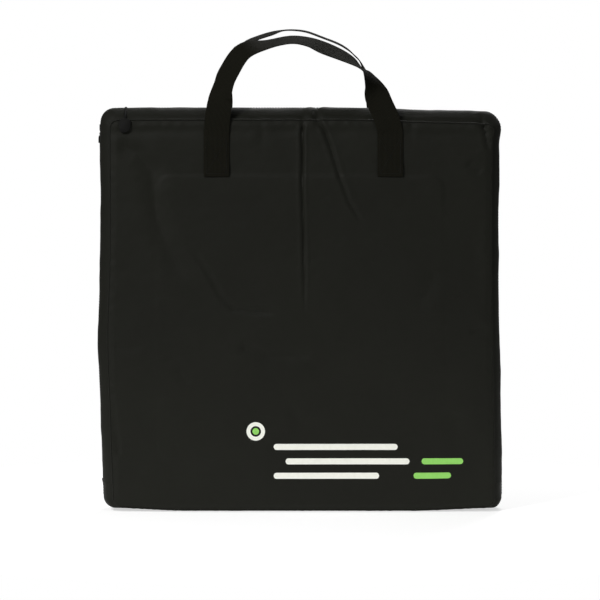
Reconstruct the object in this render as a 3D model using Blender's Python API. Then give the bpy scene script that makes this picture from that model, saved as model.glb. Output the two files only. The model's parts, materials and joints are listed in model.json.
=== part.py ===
"""A soft carry bag with a three-sided zip, standing on its base.

The back tray is the fixed half. The front cover is hinged to it along the lower front edge
and is closed by a coil zip that runs up the left side, over the top and down the right side.
Two sliders run on the zip, and each half carries a webbing handle.

Metres, +Z up, the front towards -Y. The origin is the middle of the base's underside.
"""

import math

import bmesh
import bpy
from mathutils import Vector

# The case.
WIDTH = 0.610
HEIGHT = 0.610
DEPTH = 0.076
HALF_WIDTH = WIDTH / 2
HALF_DEPTH = DEPTH / 2
CORNER_RADIUS = 0.022
BASE_CORNER_RADIUS = 0.016
CORNER_STEPS = 6
GAP = 0.0003

# The layers of each large wall, from the outside inwards.
CLOTH = 0.0016
FOAM = 0.0040
BOARD = 0.0025
LINING = 0.0010
PANEL_SIDE_INSET = 0.0145
PANEL_TOP_INSET = 0.0210
PANEL_TOP_RADIUS = 0.010
PANEL_BASE_RADIUS = 0.012
BOARD_WIDTH = 0.433
BOARD_HEIGHT = 0.428
BOARD_LOW = 0.080
BOARD_RADIUS = 0.018

# The gusset between a wall and the zip. It rises to a crest and dips again at the zip.
SEAM_DEPTH = 0.0335
SEAM_SIDE_INSET = 0.0110
SEAM_TOP_INSET = 0.0190
SHOULDER_DEPTH = 0.0260
SHOULDER_SIDE_INSET = 0.0030
SHOULDER_TOP_INSET = 0.0085
CREST_DEPTH = 0.0150
ZIP_EDGE_DEPTH = 0.0060
ZIP_EDGE_INSET = 0.0080
SIDE_ZIP_LOW = 0.0460
CORNER_GUSSET_TOP = 0.0400

# The seams and the zip.
WELT_RADIUS = 0.0016
WELT_DEPTH = 0.0358
WELT_LOW = 0.0006
PANEL_LOW = WELT_LOW + 2 * WELT_RADIUS + GAP
BINDING_WIDTH = 0.010
BINDING_THICKNESS = 0.0008
TAPE_THICKNESS = 0.0010
TAPE_HIDDEN_DEPTH = 0.0145
ZIP_HALF_GAP = 0.0008
COIL_WIDTH = 0.0028
COIL_TOP_INSET = 0.0076
COIL_BASE_INSET = 0.0100
END_TAB_LOW = 0.018
END_TAB_HIGH = 0.044

# The handles, of 38 mm webbing.
WEBBING_WIDTH = 0.038
WEBBING_THICKNESS = 0.0018
ANCHOR_DEPTH = 0.0392
STRAP_DEPTH = 0.0421
ANCHOR_LOW = 0.508
HANDLE_PIVOT_Z = 0.570
ANCHOR_X = {"left": -0.126, "right": 0.136}
STRAP_STRAIGHT = 0.014
TWIST_STEPS = 28

# The sliders and their pulls.
SLIDER_TOP_X = -0.264
SLIDER_SIDE_Z = 0.582
SLIDER_HALF_LENGTH = 0.008
SLIDER_HALF_WIDTH = 0.0065
PLATE_TOP_INSET = 0.0052
PLATE_BASE_INSET = 0.0068
INNER_PLATE_TOP_INSET = 0.0126
INNER_PLATE_BASE_INSET = 0.0142
POST_HALF_WIDTH = 0.0005
BRIDGE_HALF_LENGTH = 0.006
BRIDGE_HALF_WIDTH = 0.0012
BRIDGE_THICKNESS = 0.0016
PULL_THICKNESS = 0.0014

NYLON_BLACK = (0.015, 0.015, 0.012)
WEBBING_BLACK = (0.010, 0.010, 0.008)
LINING_BLACK = (0.020, 0.020, 0.020)
FOAM_GREY = (0.150, 0.150, 0.150)
BOARD_GREY = (0.080, 0.080, 0.085)
METAL_BLACK = (0.012, 0.012, 0.012)


def clear_scene():
    for item in list(bpy.data.objects):
        bpy.data.objects.remove(item, do_unlink=True)


def finish_of(name, colour, roughness, metallic=0.0):
    made = bpy.data.materials.new(name)
    made.use_nodes = True
    shader = made.node_tree.nodes["Principled BSDF"]
    shader.inputs["Base Color"].default_value = (*colour, 1.0)
    shader.inputs["Roughness"].default_value = roughness
    shader.inputs["Metallic"].default_value = metallic
    return made


def add_object(name, shape, finish, pivot=(0.0, 0.0, 0.0)):
    """Turns a bmesh in world coordinates into an object whose origin is the pivot."""
    colour, roughness, metallic = finish
    bmesh.ops.recalc_face_normals(shape, faces=shape.faces)
    bmesh.ops.translate(shape, verts=shape.verts, vec=-Vector(pivot))
    mesh = bpy.data.meshes.new(name)
    shape.to_mesh(mesh)
    shape.free()
    mesh.materials.append(finish_of(name, colour, roughness, metallic))
    made = bpy.data.objects.new(name, mesh)
    made.location = pivot
    bpy.context.scene.collection.objects.link(made)
    return made


NYLON = (NYLON_BLACK, 0.75, 0.0)
WEBBING = (WEBBING_BLACK, 0.80, 0.0)
LINING_CLOTH = (LINING_BLACK, 0.70, 0.0)
FOAM_SHEET = (FOAM_GREY, 0.90, 0.0)
FLUTED_BOARD = (BOARD_GREY, 0.55, 0.0)
ZIP_NYLON = (METAL_BLACK, 0.45, 0.0)
PAINTED_METAL = (METAL_BLACK, 0.35, 0.8)


def loft(loops, closed=False):
    """Joins equal loops of points into one skin, with a cap at each end unless it is closed."""
    shape = bmesh.new()
    rows = [[shape.verts.new(point) for point in loop] for loop in loops]
    pairs = list(zip(rows, rows[1:]))
    if closed:
        pairs.append((rows[-1], rows[0]))
    else:
        shape.faces.new(rows[0])
        shape.faces.new(rows[-1])
    for row, following in pairs:
        for index in range(len(row)):
            after = (index + 1) % len(row)
            shape.faces.new((row[index], row[after], following[after], following[index]))
    return shape


def arc(centre_x, centre_z, radius, first, last, steps=CORNER_STEPS):
    """Points and outward directions on an arc in the XZ plane, with the angles in degrees."""
    stations = []
    for step in range(steps + 1):
        angle = math.radians(first + (last - first) * step / steps)
        out_x, out_z = math.cos(angle), math.sin(angle)
        stations.append((centre_x + radius * out_x, centre_z + radius * out_z, out_x, out_z))
    return stations


def arch(half_width, low, high, radius):
    """Stations up the left side, over the top and down the right side of an outline."""
    left, right = -half_width + radius, half_width - radius
    stations = [(-half_width, low, -1.0, 0.0)]
    stations += arc(left, high - radius, radius, 180, 90)
    stations += arc(right, high - radius, radius, 90, 0)
    stations.append((half_width, low, 1.0, 0.0))
    return stations


def ring(half_width, low, high, top_radius, base_radius):
    """Stations all the way round a rectangle with rounded corners."""
    stations = arc(-half_width + top_radius, high - top_radius, top_radius, 180, 90)
    stations += arc(half_width - top_radius, high - top_radius, top_radius, 90, 0)
    stations += arc(half_width - base_radius, low + base_radius, base_radius, 0, -90)
    stations += arc(-half_width + base_radius, low + base_radius, base_radius, -90, -180)
    return stations


def section_at(station, profile, facing):
    """A profile of (depth, side inset, top inset) set at one station of an outline."""
    x, z, out_x, out_z = station
    loop = []
    for depth, side_inset, top_inset in profile:
        inset = side_inset + (top_inset - side_inset) * abs(out_z)
        loop.append((x - out_x * inset, facing * depth, z - out_z * inset))
    return loop


def band(stations, profile, facing, closed=False):
    return loft([section_at(station, profile, facing) for station in stations], closed)


def slab(stations, depth, thickness, facing):
    """A flat sheet with the outline of the stations, its outer face at the depth."""
    outer = [(x, facing * depth, z) for x, z, _, _ in stations]
    inner = [(x, facing * (depth - thickness), z) for x, z, _, _ in stations]
    return loft([outer, inner])


def box(low, high):
    corners = [(low[0], low[1]), (high[0], low[1]), (high[0], high[1]), (low[0], high[1])]
    return loft([[(x, y, low[2]) for x, y in corners], [(x, y, high[2]) for x, y in corners]])


def gusset_profile():
    """The gusset's cross-section from the seam over the crest to the zip, as a closed loop."""
    outer = [
        (SEAM_DEPTH, SEAM_SIDE_INSET, SEAM_TOP_INSET),
        (SHOULDER_DEPTH, SHOULDER_SIDE_INSET, SHOULDER_TOP_INSET),
        (CREST_DEPTH, 0.0, 0.0),
        (ZIP_EDGE_DEPTH, ZIP_EDGE_INSET, ZIP_EDGE_INSET),
    ]
    inner = [(depth, side + CLOTH, top + CLOTH) for depth, side, top in reversed(outer)]
    return outer + inner


def tape_profile():
    edge = ZIP_EDGE_INSET + CLOTH + 2 * GAP
    outer = [
        (TAPE_HIDDEN_DEPTH, 0.0030, 0.0030),
        (ZIP_EDGE_DEPTH, edge, edge),
        (ZIP_HALF_GAP, edge + 0.0002, edge + 0.0002),
    ]
    inner = [(d, side + TAPE_THICKNESS, top + TAPE_THICKNESS) for d, side, top in reversed(outer)]
    return outer + inner


def coil_profile():
    near, far = ZIP_HALF_GAP, ZIP_HALF_GAP + COIL_WIDTH
    return [
        (near, COIL_TOP_INSET + 0.0006, COIL_TOP_INSET + 0.0006),
        (near + 0.0007, COIL_TOP_INSET, COIL_TOP_INSET),
        (far - 0.0007, COIL_TOP_INSET, COIL_TOP_INSET),
        (far, COIL_TOP_INSET + 0.0006, COIL_TOP_INSET + 0.0006),
        (far, COIL_BASE_INSET, COIL_BASE_INSET),
        (near, COIL_BASE_INSET, COIL_BASE_INSET),
    ]


def add_wall(half, facing):
    """The cloth, foam, stiffener and lining of one large wall."""
    half_width = HALF_WIDTH - PANEL_SIDE_INSET
    top = HEIGHT - PANEL_TOP_INSET
    face = HALF_DEPTH
    outline = ring(half_width, PANEL_LOW, top, PANEL_TOP_RADIUS, PANEL_BASE_RADIUS)
    add_object(half + "_panel", slab(outline, face, CLOTH, facing), NYLON)

    face -= CLOTH + GAP
    low = PANEL_LOW + 0.002
    outline = ring(half_width - 0.002, low, top - 0.002, PANEL_TOP_RADIUS, PANEL_BASE_RADIUS)
    add_object(half + "_foam", slab(outline, face, FOAM, facing), FOAM_SHEET)

    face -= FOAM + GAP
    board_top = BOARD_LOW + BOARD_HEIGHT
    outline = ring(BOARD_WIDTH / 2, BOARD_LOW, board_top, BOARD_RADIUS, BOARD_RADIUS)
    add_object(half + "_stiffener", slab(outline, face, BOARD, facing), FLUTED_BOARD)

    face -= BOARD + GAP
    outline = ring(half_width - 0.001, PANEL_LOW, top - 0.001, PANEL_TOP_RADIUS, PANEL_BASE_RADIUS)
    add_object(half + "_lining", slab(outline, face, LINING, facing), LINING_CLOTH)

    face -= LINING + GAP
    frame = arch(half_width - 0.002, CORNER_GUSSET_TOP, top - 0.002, PANEL_TOP_RADIUS + 0.004)
    far = face - BINDING_THICKNESS
    strip = [
        (face, 0.0, 0.0),
        (face, BINDING_WIDTH, BINDING_WIDTH),
        (far, BINDING_WIDTH, BINDING_WIDTH),
        (far, 0.0, 0.0),
    ]
    add_object(half + "_seam_binding", band(frame, strip, facing), LINING_CLOTH)


def add_welt(half, facing):
    """The turned seam that stands proud round a wall's edge."""
    reach = WELT_RADIUS + GAP
    outline = ring(
        HALF_WIDTH - PANEL_SIDE_INSET + reach,
        PANEL_LOW - reach,
        HEIGHT - PANEL_TOP_INSET + reach,
        PANEL_TOP_RADIUS + reach,
        PANEL_BASE_RADIUS + reach,
    )
    circle = []
    for step in range(8):
        angle = math.radians(45 * step + 22.5)
        inset = WELT_RADIUS * math.sin(angle)
        circle.append((WELT_DEPTH + WELT_RADIUS * math.cos(angle), inset, inset))
    shape = band(outline, circle, facing, closed=True)
    add_object(half + "_welt", shape, NYLON)


def add_gussets(half, facing):
    profile = gusset_profile()
    spring_z = HEIGHT - CORNER_RADIUS
    low = CORNER_GUSSET_TOP + GAP
    for side, sign in (("left", -1.0), ("right", 1.0)):
        run = [(sign * HALF_WIDTH, z, sign, 0.0) for z in (low, spring_z - GAP)]
        add_object(f"{half}_gusset_{side}", band(run, profile, facing), NYLON)
    over = arch(HALF_WIDTH, spring_z, HEIGHT, CORNER_RADIUS)[1:-1]
    add_object(half + "_gusset_top", band(over, profile, facing), NYLON)


def add_zip_half(half, facing):
    run = arch(HALF_WIDTH, SIDE_ZIP_LOW, HEIGHT, CORNER_RADIUS)
    add_object(half + "_zip_tape", band(run, tape_profile(), facing), ZIP_NYLON)
    add_object(half + "_zip_coil", band(run, coil_profile(), facing), ZIP_NYLON)


def add_base():
    """The base strip, and the corner gussets that turn up from it to the zip's ends."""
    end = HALF_WIDTH - BASE_CORNER_RADIUS - GAP
    low = (-end, -SEAM_DEPTH - GAP, 0.0)
    high = (end, SEAM_DEPTH + GAP, CLOTH)
    add_object("base_gusset", box(low, high), NYLON)
    across = [
        (-SEAM_DEPTH, SEAM_SIDE_INSET),
        (-SHOULDER_DEPTH, SHOULDER_SIDE_INSET),
        (-CREST_DEPTH, 0.0),
        (CREST_DEPTH, 0.0),
        (SHOULDER_DEPTH, SHOULDER_SIDE_INSET),
        (SEAM_DEPTH, SEAM_SIDE_INSET),
    ]
    for side, sign in (("left", -1.0), ("right", 1.0)):
        centre_x = sign * (HALF_WIDTH - BASE_CORNER_RADIUS)
        stations = [(CORNER_GUSSET_TOP, 0.0)]
        stations += [(BASE_CORNER_RADIUS, 90.0 * step / CORNER_STEPS) for step in range(CORNER_STEPS + 1)]
        loops = []
        for centre_z, degrees in stations:
            turn = math.radians(degrees)
            loop = []
            for extra, row in ((0.0, across), (CLOTH, list(reversed(across)))):
                for y, inset in row:
                    reach = BASE_CORNER_RADIUS - inset * math.cos(turn) - extra
                    x = centre_x + sign * reach * math.cos(turn)
                    loop.append((x, y, centre_z - reach * math.sin(turn)))
            loops.append(loop)
        add_object(f"corner_gusset_{side}", loft(loops), NYLON)


def add_zip_ends():
    """A metal stop that ties the two coils at each lower end, and a cloth tab over it."""
    for side, sign in (("left", -1.0), ("right", 1.0)):
        outer = sign * (HALF_WIDTH - 0.0068)
        inner = sign * (HALF_WIDTH - 0.0110)
        low = (min(outer, inner), -0.0042, CORNER_GUSSET_TOP + 0.0012)
        high = (max(outer, inner), 0.0042, SIDE_ZIP_LOW - GAP)
        add_object("zip_stop_" + side, box(low, high), PAINTED_METAL)
        outer = sign * (HALF_WIDTH + GAP + 0.0014)
        inner = sign * (HALF_WIDTH + GAP)
        low = (min(outer, inner), -0.012, END_TAB_LOW)
        high = (max(outer, inner), 0.012, END_TAB_HIGH)
        add_object("zip_end_tab_" + side, box(low, high), NYLON)


def ribbon(stations, thickness):
    """A flat strap through (centre, width direction, half width) stations."""
    loops = []
    for index, (centre, across, half_width) in enumerate(stations):
        before = stations[max(index - 1, 0)][0]
        after = stations[min(index + 1, len(stations) - 1)][0]
        along = (after - before).normalized()
        across = (across - along * across.dot(along)).normalized()
        through = along.cross(across) * thickness / 2
        side = across * half_width
        loops.append(
            [centre - side - through, centre + side - through, centre + side + through,
             centre - side + through]
        )
    return loft(loops)


def on_curve(points, share):
    """A point on the smooth curve through the points, at a share of its way."""
    place = share * (len(points) - 1)
    index = min(int(place), len(points) - 2)
    part = place - index
    around = [points[max(0, min(len(points) - 1, index + step))] for step in (-1, 0, 1, 2)]
    a, b, c, d = around
    return 0.5 * (
        2 * b + (c - a) * part + (2 * a - 5 * b + 4 * c - d) * part**2
        + (3 * b - a - 3 * c + d) * part**3
    )


def ease(value, first, last):
    share = max(0.0, min(1.0, (value - first) / (last - first)))
    return share * share * (3 - 2 * share)


def add_handle(half, facing, rise, lean):
    """Sewn anchors on the wall, and the free loop, which twists to lie flat in the hand."""
    for side, x in ANCHOR_X.items():
        low = (x - WEBBING_WIDTH / 2, facing * ANCHOR_DEPTH - WEBBING_THICKNESS / 2, ANCHOR_LOW)
        high = (
            x + WEBBING_WIDTH / 2,
            facing * ANCHOR_DEPTH + WEBBING_THICKNESS / 2,
            HANDLE_PIVOT_Z - 0.0005,
        )
        add_object(f"{half}_anchor_{side}", box(low, high), WEBBING)

    left, right = ANCHOR_X["left"], ANCHOR_X["right"]
    middle = (left + right) / 2 + lean
    route = [
        (left, HANDLE_PIVOT_Z + STRAP_STRAIGHT),
        (left + 0.004, HEIGHT + 0.006),
        (left + 0.015, HEIGHT + 0.048),
        (left + 0.040, HEIGHT + rise * 0.76),
        (middle - 0.030, HEIGHT + rise * 0.96),
        (middle + 0.020, HEIGHT + rise * 0.95),
        (right - 0.062, HEIGHT + rise * 0.68),
        (right - 0.032, HEIGHT + 0.046),
        (right - 0.012, HEIGHT + 0.006),
        (right, HANDLE_PIVOT_Z + STRAP_STRAIGHT),
    ]
    points = [Vector((x, facing * STRAP_DEPTH, z)) for x, z in route]
    feet = [Vector((x, facing * STRAP_DEPTH, HANDLE_PIVOT_Z + 0.0005)) for x in (left, right)]
    sideways = Vector((1.0, 0.0, 0.0))
    stations = [(feet[0], sideways, WEBBING_WIDTH / 2)]
    for step in range(TWIST_STEPS + 1):
        share = step / TWIST_STEPS
        turn = math.radians(90) * ease(share, 0.20, 0.42) * (1 - ease(share, 0.58, 0.80))
        across = Vector((math.cos(turn), -math.sin(turn), 0.0))
        stations.append((on_curve(points, share), across, WEBBING_WIDTH / 2))
    stations.append((feet[1], sideways, WEBBING_WIDTH / 2))
    pivot = (0.0, facing * STRAP_DEPTH, HANDLE_PIVOT_Z)
    add_object("handle_" + half, ribbon(stations, WEBBING_THICKNESS), WEBBING, pivot)


def top_run(along, across, inset):
    return Vector((SLIDER_TOP_X + along, across, HEIGHT - inset))


def side_run(along, across, inset):
    return Vector((-HALF_WIDTH + inset, across, SLIDER_SIDE_Z + along))


def add_slider(run_name, place):
    """A slider's two plates and the post between them, and the bridge that holds its pull."""
    wide, thin = SLIDER_HALF_WIDTH, POST_HALF_WIDTH
    section = [
        (-wide, PLATE_TOP_INSET),
        (wide, PLATE_TOP_INSET),
        (wide, PLATE_BASE_INSET),
        (thin, PLATE_BASE_INSET),
        (thin, INNER_PLATE_TOP_INSET),
        (wide, INNER_PLATE_TOP_INSET),
        (wide, INNER_PLATE_BASE_INSET),
        (-wide, INNER_PLATE_BASE_INSET),
        (-wide, INNER_PLATE_TOP_INSET),
        (-thin, INNER_PLATE_TOP_INSET),
        (-thin, PLATE_BASE_INSET),
        (-wide, PLATE_BASE_INSET),
    ]
    ends = (-SLIDER_HALF_LENGTH, SLIDER_HALF_LENGTH)
    shape = loft([[place(along, y, inset) for y, inset in section] for along in ends])
    add_object(f"slider_{run_name}", shape, PAINTED_METAL, place(0, 0, PLATE_TOP_INSET))

    long, foot = BRIDGE_HALF_LENGTH, PLATE_TOP_INSET - GAP
    inside = long - BRIDGE_THICKNESS
    outline = [
        (-long, foot),
        (-long, 0.0012),
        (-long + 0.0012, 0.0),
        (long - 0.0012, 0.0),
        (long, 0.0012),
        (long, foot),
        (inside, foot),
        (inside, BRIDGE_THICKNESS),
        (-inside, BRIDGE_THICKNESS),
        (-inside, foot),
    ]
    faces = (-BRIDGE_HALF_WIDTH, BRIDGE_HALF_WIDTH)
    shape = loft([[place(along, y, inset) for along, inset in outline] for y in faces])
    add_object(f"bridge_{run_name}", shape, PAINTED_METAL, place(0, 0, 0))


def joined(name, first, second):
    """Unites the second shape with the first object's and drops the helper."""
    helper = add_object(name + "_helper", second, PAINTED_METAL)
    helper.hide_render = True
    helper.display_type = "WIRE"
    union = first.modifiers.new("union", "BOOLEAN")
    union.operation = "UNION"
    union.solver = "EXACT"
    union.object = helper


def add_top_pull():
    """A ring round the bridge, and a soft tab that falls forward over the gusset."""
    centre_inset = BRIDGE_THICKNESS / 2
    pivot = top_run(0, 0, centre_inset)
    inner, outer, half_thickness = 0.0021, 0.0034, 0.0010
    loops = []
    for step in range(16):
        angle = math.tau * step / 16
        loops.append(
            [
                pivot + Vector((along, radius * math.cos(angle), radius * math.sin(angle)))
                for along, radius in (
                    (-half_thickness, inner),
                    (half_thickness, inner),
                    (half_thickness, outer),
                    (-half_thickness, outer),
                )
            ]
        )
    pull = add_object("pull_top", loft(loops, closed=True), PAINTED_METAL, pivot)
    route = [
        (-0.0026, -0.0010, 0.0024),
        (-0.0100, -0.0026, 0.0026),
        (-0.0165, -0.0018, 0.0030),
        (-0.0275, 0.0065, 0.0055),
        (-0.0368, 0.0145, 0.0085),
        (-0.0397, 0.0200, 0.0095),
        (-0.0397, 0.0290, 0.0092),
        (-0.0397, 0.0335, 0.0070),
        (-0.0397, 0.0350, 0.0040),
    ]
    sideways = Vector((1.0, 0.0, 0.0))
    stations = [(top_run(0, y, inset), sideways, half) for y, inset, half in route]
    joined("pull_top", pull, ribbon(stations, PULL_THICKNESS))


def add_side_pull():
    """A flat pull whose eye holds the bridge, hanging down outside the gusset's crest."""
    bar_inset = 0.0034
    pivot = side_run(0, 0, bar_inset)
    thick = PULL_THICKNESS / 2
    profile = [
        (0.0008, bar_inset),
        (-0.0060, bar_inset - 0.0008),
        (-0.0105, -0.0028),
        (-0.0230, -0.0032),
    ]
    sideways = Vector((0.0, 1.0, 0.0))
    stations = [
        (side_run(along, 0, inset), sideways, half)
        for (along, inset), half in zip(profile, (0.0044, 0.0044, 0.0044, 0.0036))
    ]
    pull = add_object("pull_side", ribbon(stations, 2 * thick), PAINTED_METAL, pivot)
    low = side_run(-0.0085, -0.0026, 0.0090)
    high = side_run(-0.0008, 0.0026, -0.0060)
    corners = [[min(a, b) for a, b in zip(low, high)], [max(a, b) for a, b in zip(low, high)]]
    cutter = add_object("pull_side_eye", box(*corners), PAINTED_METAL)
    cutter.hide_render = True
    cutter.display_type = "WIRE"
    cut = pull.modifiers.new("eye", "BOOLEAN")
    cut.operation = "DIFFERENCE"
    cut.solver = "EXACT"
    cut.object = cutter


def main():
    clear_scene()
    for half, facing in (("back", 1.0), ("front", -1.0)):
        add_wall(half, facing)
        add_welt(half, facing)
        add_gussets(half, facing)
        add_zip_half(half, facing)
    add_base()
    add_zip_ends()
    add_handle("front", -1.0, rise=0.112, lean=-0.010)
    add_handle("back", 1.0, rise=0.122, lean=-0.016)
    add_slider("top", top_run)
    add_slider("side", side_run)
    add_top_pull()
    add_side_pull()


main()
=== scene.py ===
# %% [markdown]
# # A soft carry bag that opens like a case
#
# The bag is two shallow cloth trays that meet at a zip. The front one is a cover that folds down
# along its lower edge. This script dresses the fixed frame, which already has the sizes and the
# joints, in cloth, webbing, zip and thread. Everything is in metres, and the front faces -Y.

# %% Load the frame
import json
import math

import bmesh
import bpy
import numpy as np
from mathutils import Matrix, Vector


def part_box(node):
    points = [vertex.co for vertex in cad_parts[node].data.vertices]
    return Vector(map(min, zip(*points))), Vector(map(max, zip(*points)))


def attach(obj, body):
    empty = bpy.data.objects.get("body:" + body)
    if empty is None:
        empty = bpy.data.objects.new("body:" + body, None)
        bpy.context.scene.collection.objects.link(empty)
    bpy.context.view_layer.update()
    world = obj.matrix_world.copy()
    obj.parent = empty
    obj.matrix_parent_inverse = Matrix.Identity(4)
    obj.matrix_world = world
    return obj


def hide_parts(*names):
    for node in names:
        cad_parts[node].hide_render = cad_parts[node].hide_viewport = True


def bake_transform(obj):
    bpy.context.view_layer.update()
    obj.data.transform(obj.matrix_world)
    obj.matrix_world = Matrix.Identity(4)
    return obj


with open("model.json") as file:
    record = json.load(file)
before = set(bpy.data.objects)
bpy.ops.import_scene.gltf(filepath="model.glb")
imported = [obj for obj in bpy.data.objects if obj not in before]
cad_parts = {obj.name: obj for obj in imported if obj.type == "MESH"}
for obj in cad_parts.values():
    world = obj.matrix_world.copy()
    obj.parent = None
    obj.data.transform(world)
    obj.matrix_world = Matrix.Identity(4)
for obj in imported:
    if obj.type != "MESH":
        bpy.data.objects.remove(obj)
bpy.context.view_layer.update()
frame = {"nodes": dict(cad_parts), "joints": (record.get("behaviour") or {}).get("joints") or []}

# %% [markdown]
# ## Sizes
#
# The places and sizes of the case are read from the frame, so each piece lands where the frame
# says. Folds, the handles' loops and the way the bag settles are drawn in millimetres. The
# crest is the outermost line of the cloth band between a wall and the zip.

# %% Read the sizes
MM = 0.001
crest_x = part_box("front_gusset_right")[1].x
crest_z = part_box("front_gusset_top")[1].z
panel_low, panel_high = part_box("front_panel")
panel_x, panel_base, panel_top = panel_high.x, panel_low.z, panel_high.z
panel_mid_z = (panel_base + panel_top) / 2
wall_y = -panel_low.y
foam_y = -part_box("front_foam")[1].y
lining_y = -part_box("front_lining")[0].y
lining_inner_y = -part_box("front_lining")[1].y
board_low, board_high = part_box("front_stiffener")
gusset_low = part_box("front_gusset_left")[0].z
anchor_box = {side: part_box("front_anchor_" + side) for side in ("left", "right")}
anchor_x = {side: (low.x + high.x) / 2 for side, (low, high) in anchor_box.items()}
anchor_foot = anchor_box["left"][0].z
webbing_width = anchor_box["left"][1].x - anchor_box["left"][0].x
webbing_thickness = anchor_box["left"][1].y - anchor_box["left"][0].y
fold = {j["name"]: j for j in frame["joints"]}["front_handle_fold"]["pos_m"]
crest_radius = 22 * MM
PANEL_CORNER = 11 * MM
GUSSET_CLOTH = 1.1 * MM
THREAD_RADIUS = 0.30 * MM
HALVES = (("front", -1, "front_cover"), ("back", 1, "back_tray"))
print(f"case {2 * crest_x:.3f} wide, {crest_z:.3f} high; webbing {webbing_width:.3f} wide")

# %% [markdown]
# ## How a full soft bag settles
#
# A new cloth bag is cut square, but once it stands with something in it the sides belly out low
# down, the lower corners draw up and one top corner drops a little. One function moves the cloth,
# the zip and the print the same way, so pieces that meet still meet. The handles, sliders and pulls
# keep the frame's places. Near the zip the move is even, because the sliders run straight there.


# %% Settle points
def ease(value, start, end):
    share = np.clip((value - start) / (end - start), 0.0, 1.0)
    return share * share * (3 - 2 * share)


# Where a fold of the front runs up over the top seam: x, depth and half width in millimetres.
SEAM_PINCHES = ((26, 2.4, 5.0), (5, 1.2, 6.0), (-66, 1.0, 8.0), (276, 2.4, 5.0), (168, 0.8, 6.0))
# How far the left side is drawn in and the top is raised along the zip, in millimetres.
LEFT_DRAW = -2.2
ZIP_RISE = 1.7


def settle(points):
    """Moves points of the square cut case to where they lie once the bag has settled."""
    points = np.array(points, float)
    x, z = points[..., 0].copy(), points[..., 2].copy()
    side = ease(np.abs(x) / crest_x, 0.55, 1.0)
    left_out = LEFT_DRAW + 4.6 * np.exp(-(((z - 0.26) / 0.09) ** 2)) - 3.4 * np.exp(-((z / 0.08) ** 2))
    right_out = np.clip(2.5 - 13 * z, -3.6, 2.5) + 0.8 * np.sin(z * 14)
    right_out += 3.0 * np.exp(-(((z - 0.583) / 0.013) ** 2))
    zip_line = (1 - ease(np.abs(points[..., 1]), 0.0035, 0.013)) * ease(z, 0.030, 0.052)
    left_out += zip_line * (LEFT_DRAW - left_out)
    points[..., 0] += MM * side * np.where(x < 0, -left_out, right_out)
    turned = ease(-points[..., 1], 0.018, 0.034) * ease(-x, 0.16, 0.28)
    points[..., 0] += MM * 3.5 * turned
    rise = 2.2 - 6.0 * ease(x, 0.05, 0.29) - 0.6 * ease(-x, 0.20, 0.30)
    rise += zip_line * (ZIP_RISE - rise)
    points[..., 2] += MM * rise * ease(z / crest_z, 0.75, 1.0)
    upper = ease(z, 0.570, 0.590) * ease(-points[..., 1], 0.014, 0.034)
    for middle, depth, width in SEAM_PINCHES:
        pinch = MM * depth * upper * np.exp(-(((x / MM - middle) / width) ** 2))
        points[..., 1] += pinch
        points[..., 2] -= 0.5 * pinch
    lift = 4.5 * ease(np.abs(x), 0.17, 0.30)
    points[..., 2] += MM * lift * (1 - ease(z, 0.0, 0.09))
    return points


heights = np.linspace(0, crest_z, 200)
left_side = np.stack([np.full(200, -crest_x), np.full(200, 20 * MM), heights], axis=-1)
bellied = (left_side - settle(left_side))[:, 0].max()
print("the left side bellies out by up to", round(float(bellied) / MM, 1), "mm")

# %% [markdown]
# ## Mesh helpers
#
# Cloth is a thin closed shell: an outer grid of points, an inner grid behind it and a rim between
# them. Each shell carries a UV map in metres, so a weave keeps its real size on every piece.


# %% Build meshes from grids
def finish_mesh(name, verts, faces, uvs=None, sharp=40):
    mesh = bpy.data.meshes.new(name)
    mesh.from_pydata([tuple(v) for v in verts], [], [tuple(int(i) for i in f) for f in faces])
    if uvs is not None:
        layer = mesh.uv_layers.new(name="cloth")
        corner = np.zeros(len(mesh.loops), np.int32)
        mesh.loops.foreach_get("vertex_index", corner)
        layer.data.foreach_set("uv", np.asarray(uvs, np.float32)[corner].ravel())
    mesh.validate()
    tidy = bmesh.new()
    tidy.from_mesh(mesh)
    bmesh.ops.recalc_face_normals(tidy, faces=tidy.faces)
    tidy.to_mesh(mesh)
    tidy.free()
    mesh.shade_smooth()
    mesh.set_sharp_from_angle(angle=math.radians(sharp))
    made = bpy.data.objects.new(name, mesh)
    bpy.context.scene.collection.objects.link(made)
    return made


def grid_faces(rows, cols, start, wrap_rows=False, wrap_cols=False):
    index = start + np.arange(rows * cols).reshape(rows, cols)
    if wrap_rows:
        index = np.vstack([index, index[:1]])
    if wrap_cols:
        index = np.hstack([index, index[:, :1]])
    corners = (index[:-1, :-1], index[1:, :-1], index[1:, 1:], index[:-1, 1:])
    return np.stack([c.ravel() for c in corners], axis=1)


def shell(name, outer, inner, uv, wrap_rows=False, sharp=40):
    """A closed sheet between two grids of points, rows by columns by 3."""
    rows, cols = outer.shape[:2]
    count = rows * cols
    verts = np.vstack([outer.reshape(-1, 3), inner.reshape(-1, 3)])
    faces = [grid_faces(rows, cols, 0, wrap_rows), grid_faces(rows, cols, count, wrap_rows)[:, ::-1]]
    index = np.arange(count).reshape(rows, cols)
    edges = [index[:, 0], index[::-1, -1]]
    if wrap_rows:
        edges = [np.append(edge, edge[0]) for edge in edges]
    else:
        edges += [index[0, ::-1], index[-1, :]]
    for edge in edges:
        near, far = edge[:-1], edge[1:]
        faces.append(np.stack([near, far, far + count, near + count], axis=1))
    uvs = np.vstack([uv.reshape(-1, 2)] * 2)
    return finish_mesh(name, verts, np.vstack(faces), uvs, sharp)


def dress(piece, finish, body, slot, *nodes):
    """Gives a piece its finish and its body, and hides the frame's nodes that it stands for."""
    piece.data.materials.clear()
    piece.data.materials.append(finish)
    if nodes:
        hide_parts(*nodes)
    if body:
        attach(piece, body)
    print(f"{piece.name}: {len(piece.data.polygons)} faces")
    return piece


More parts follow.
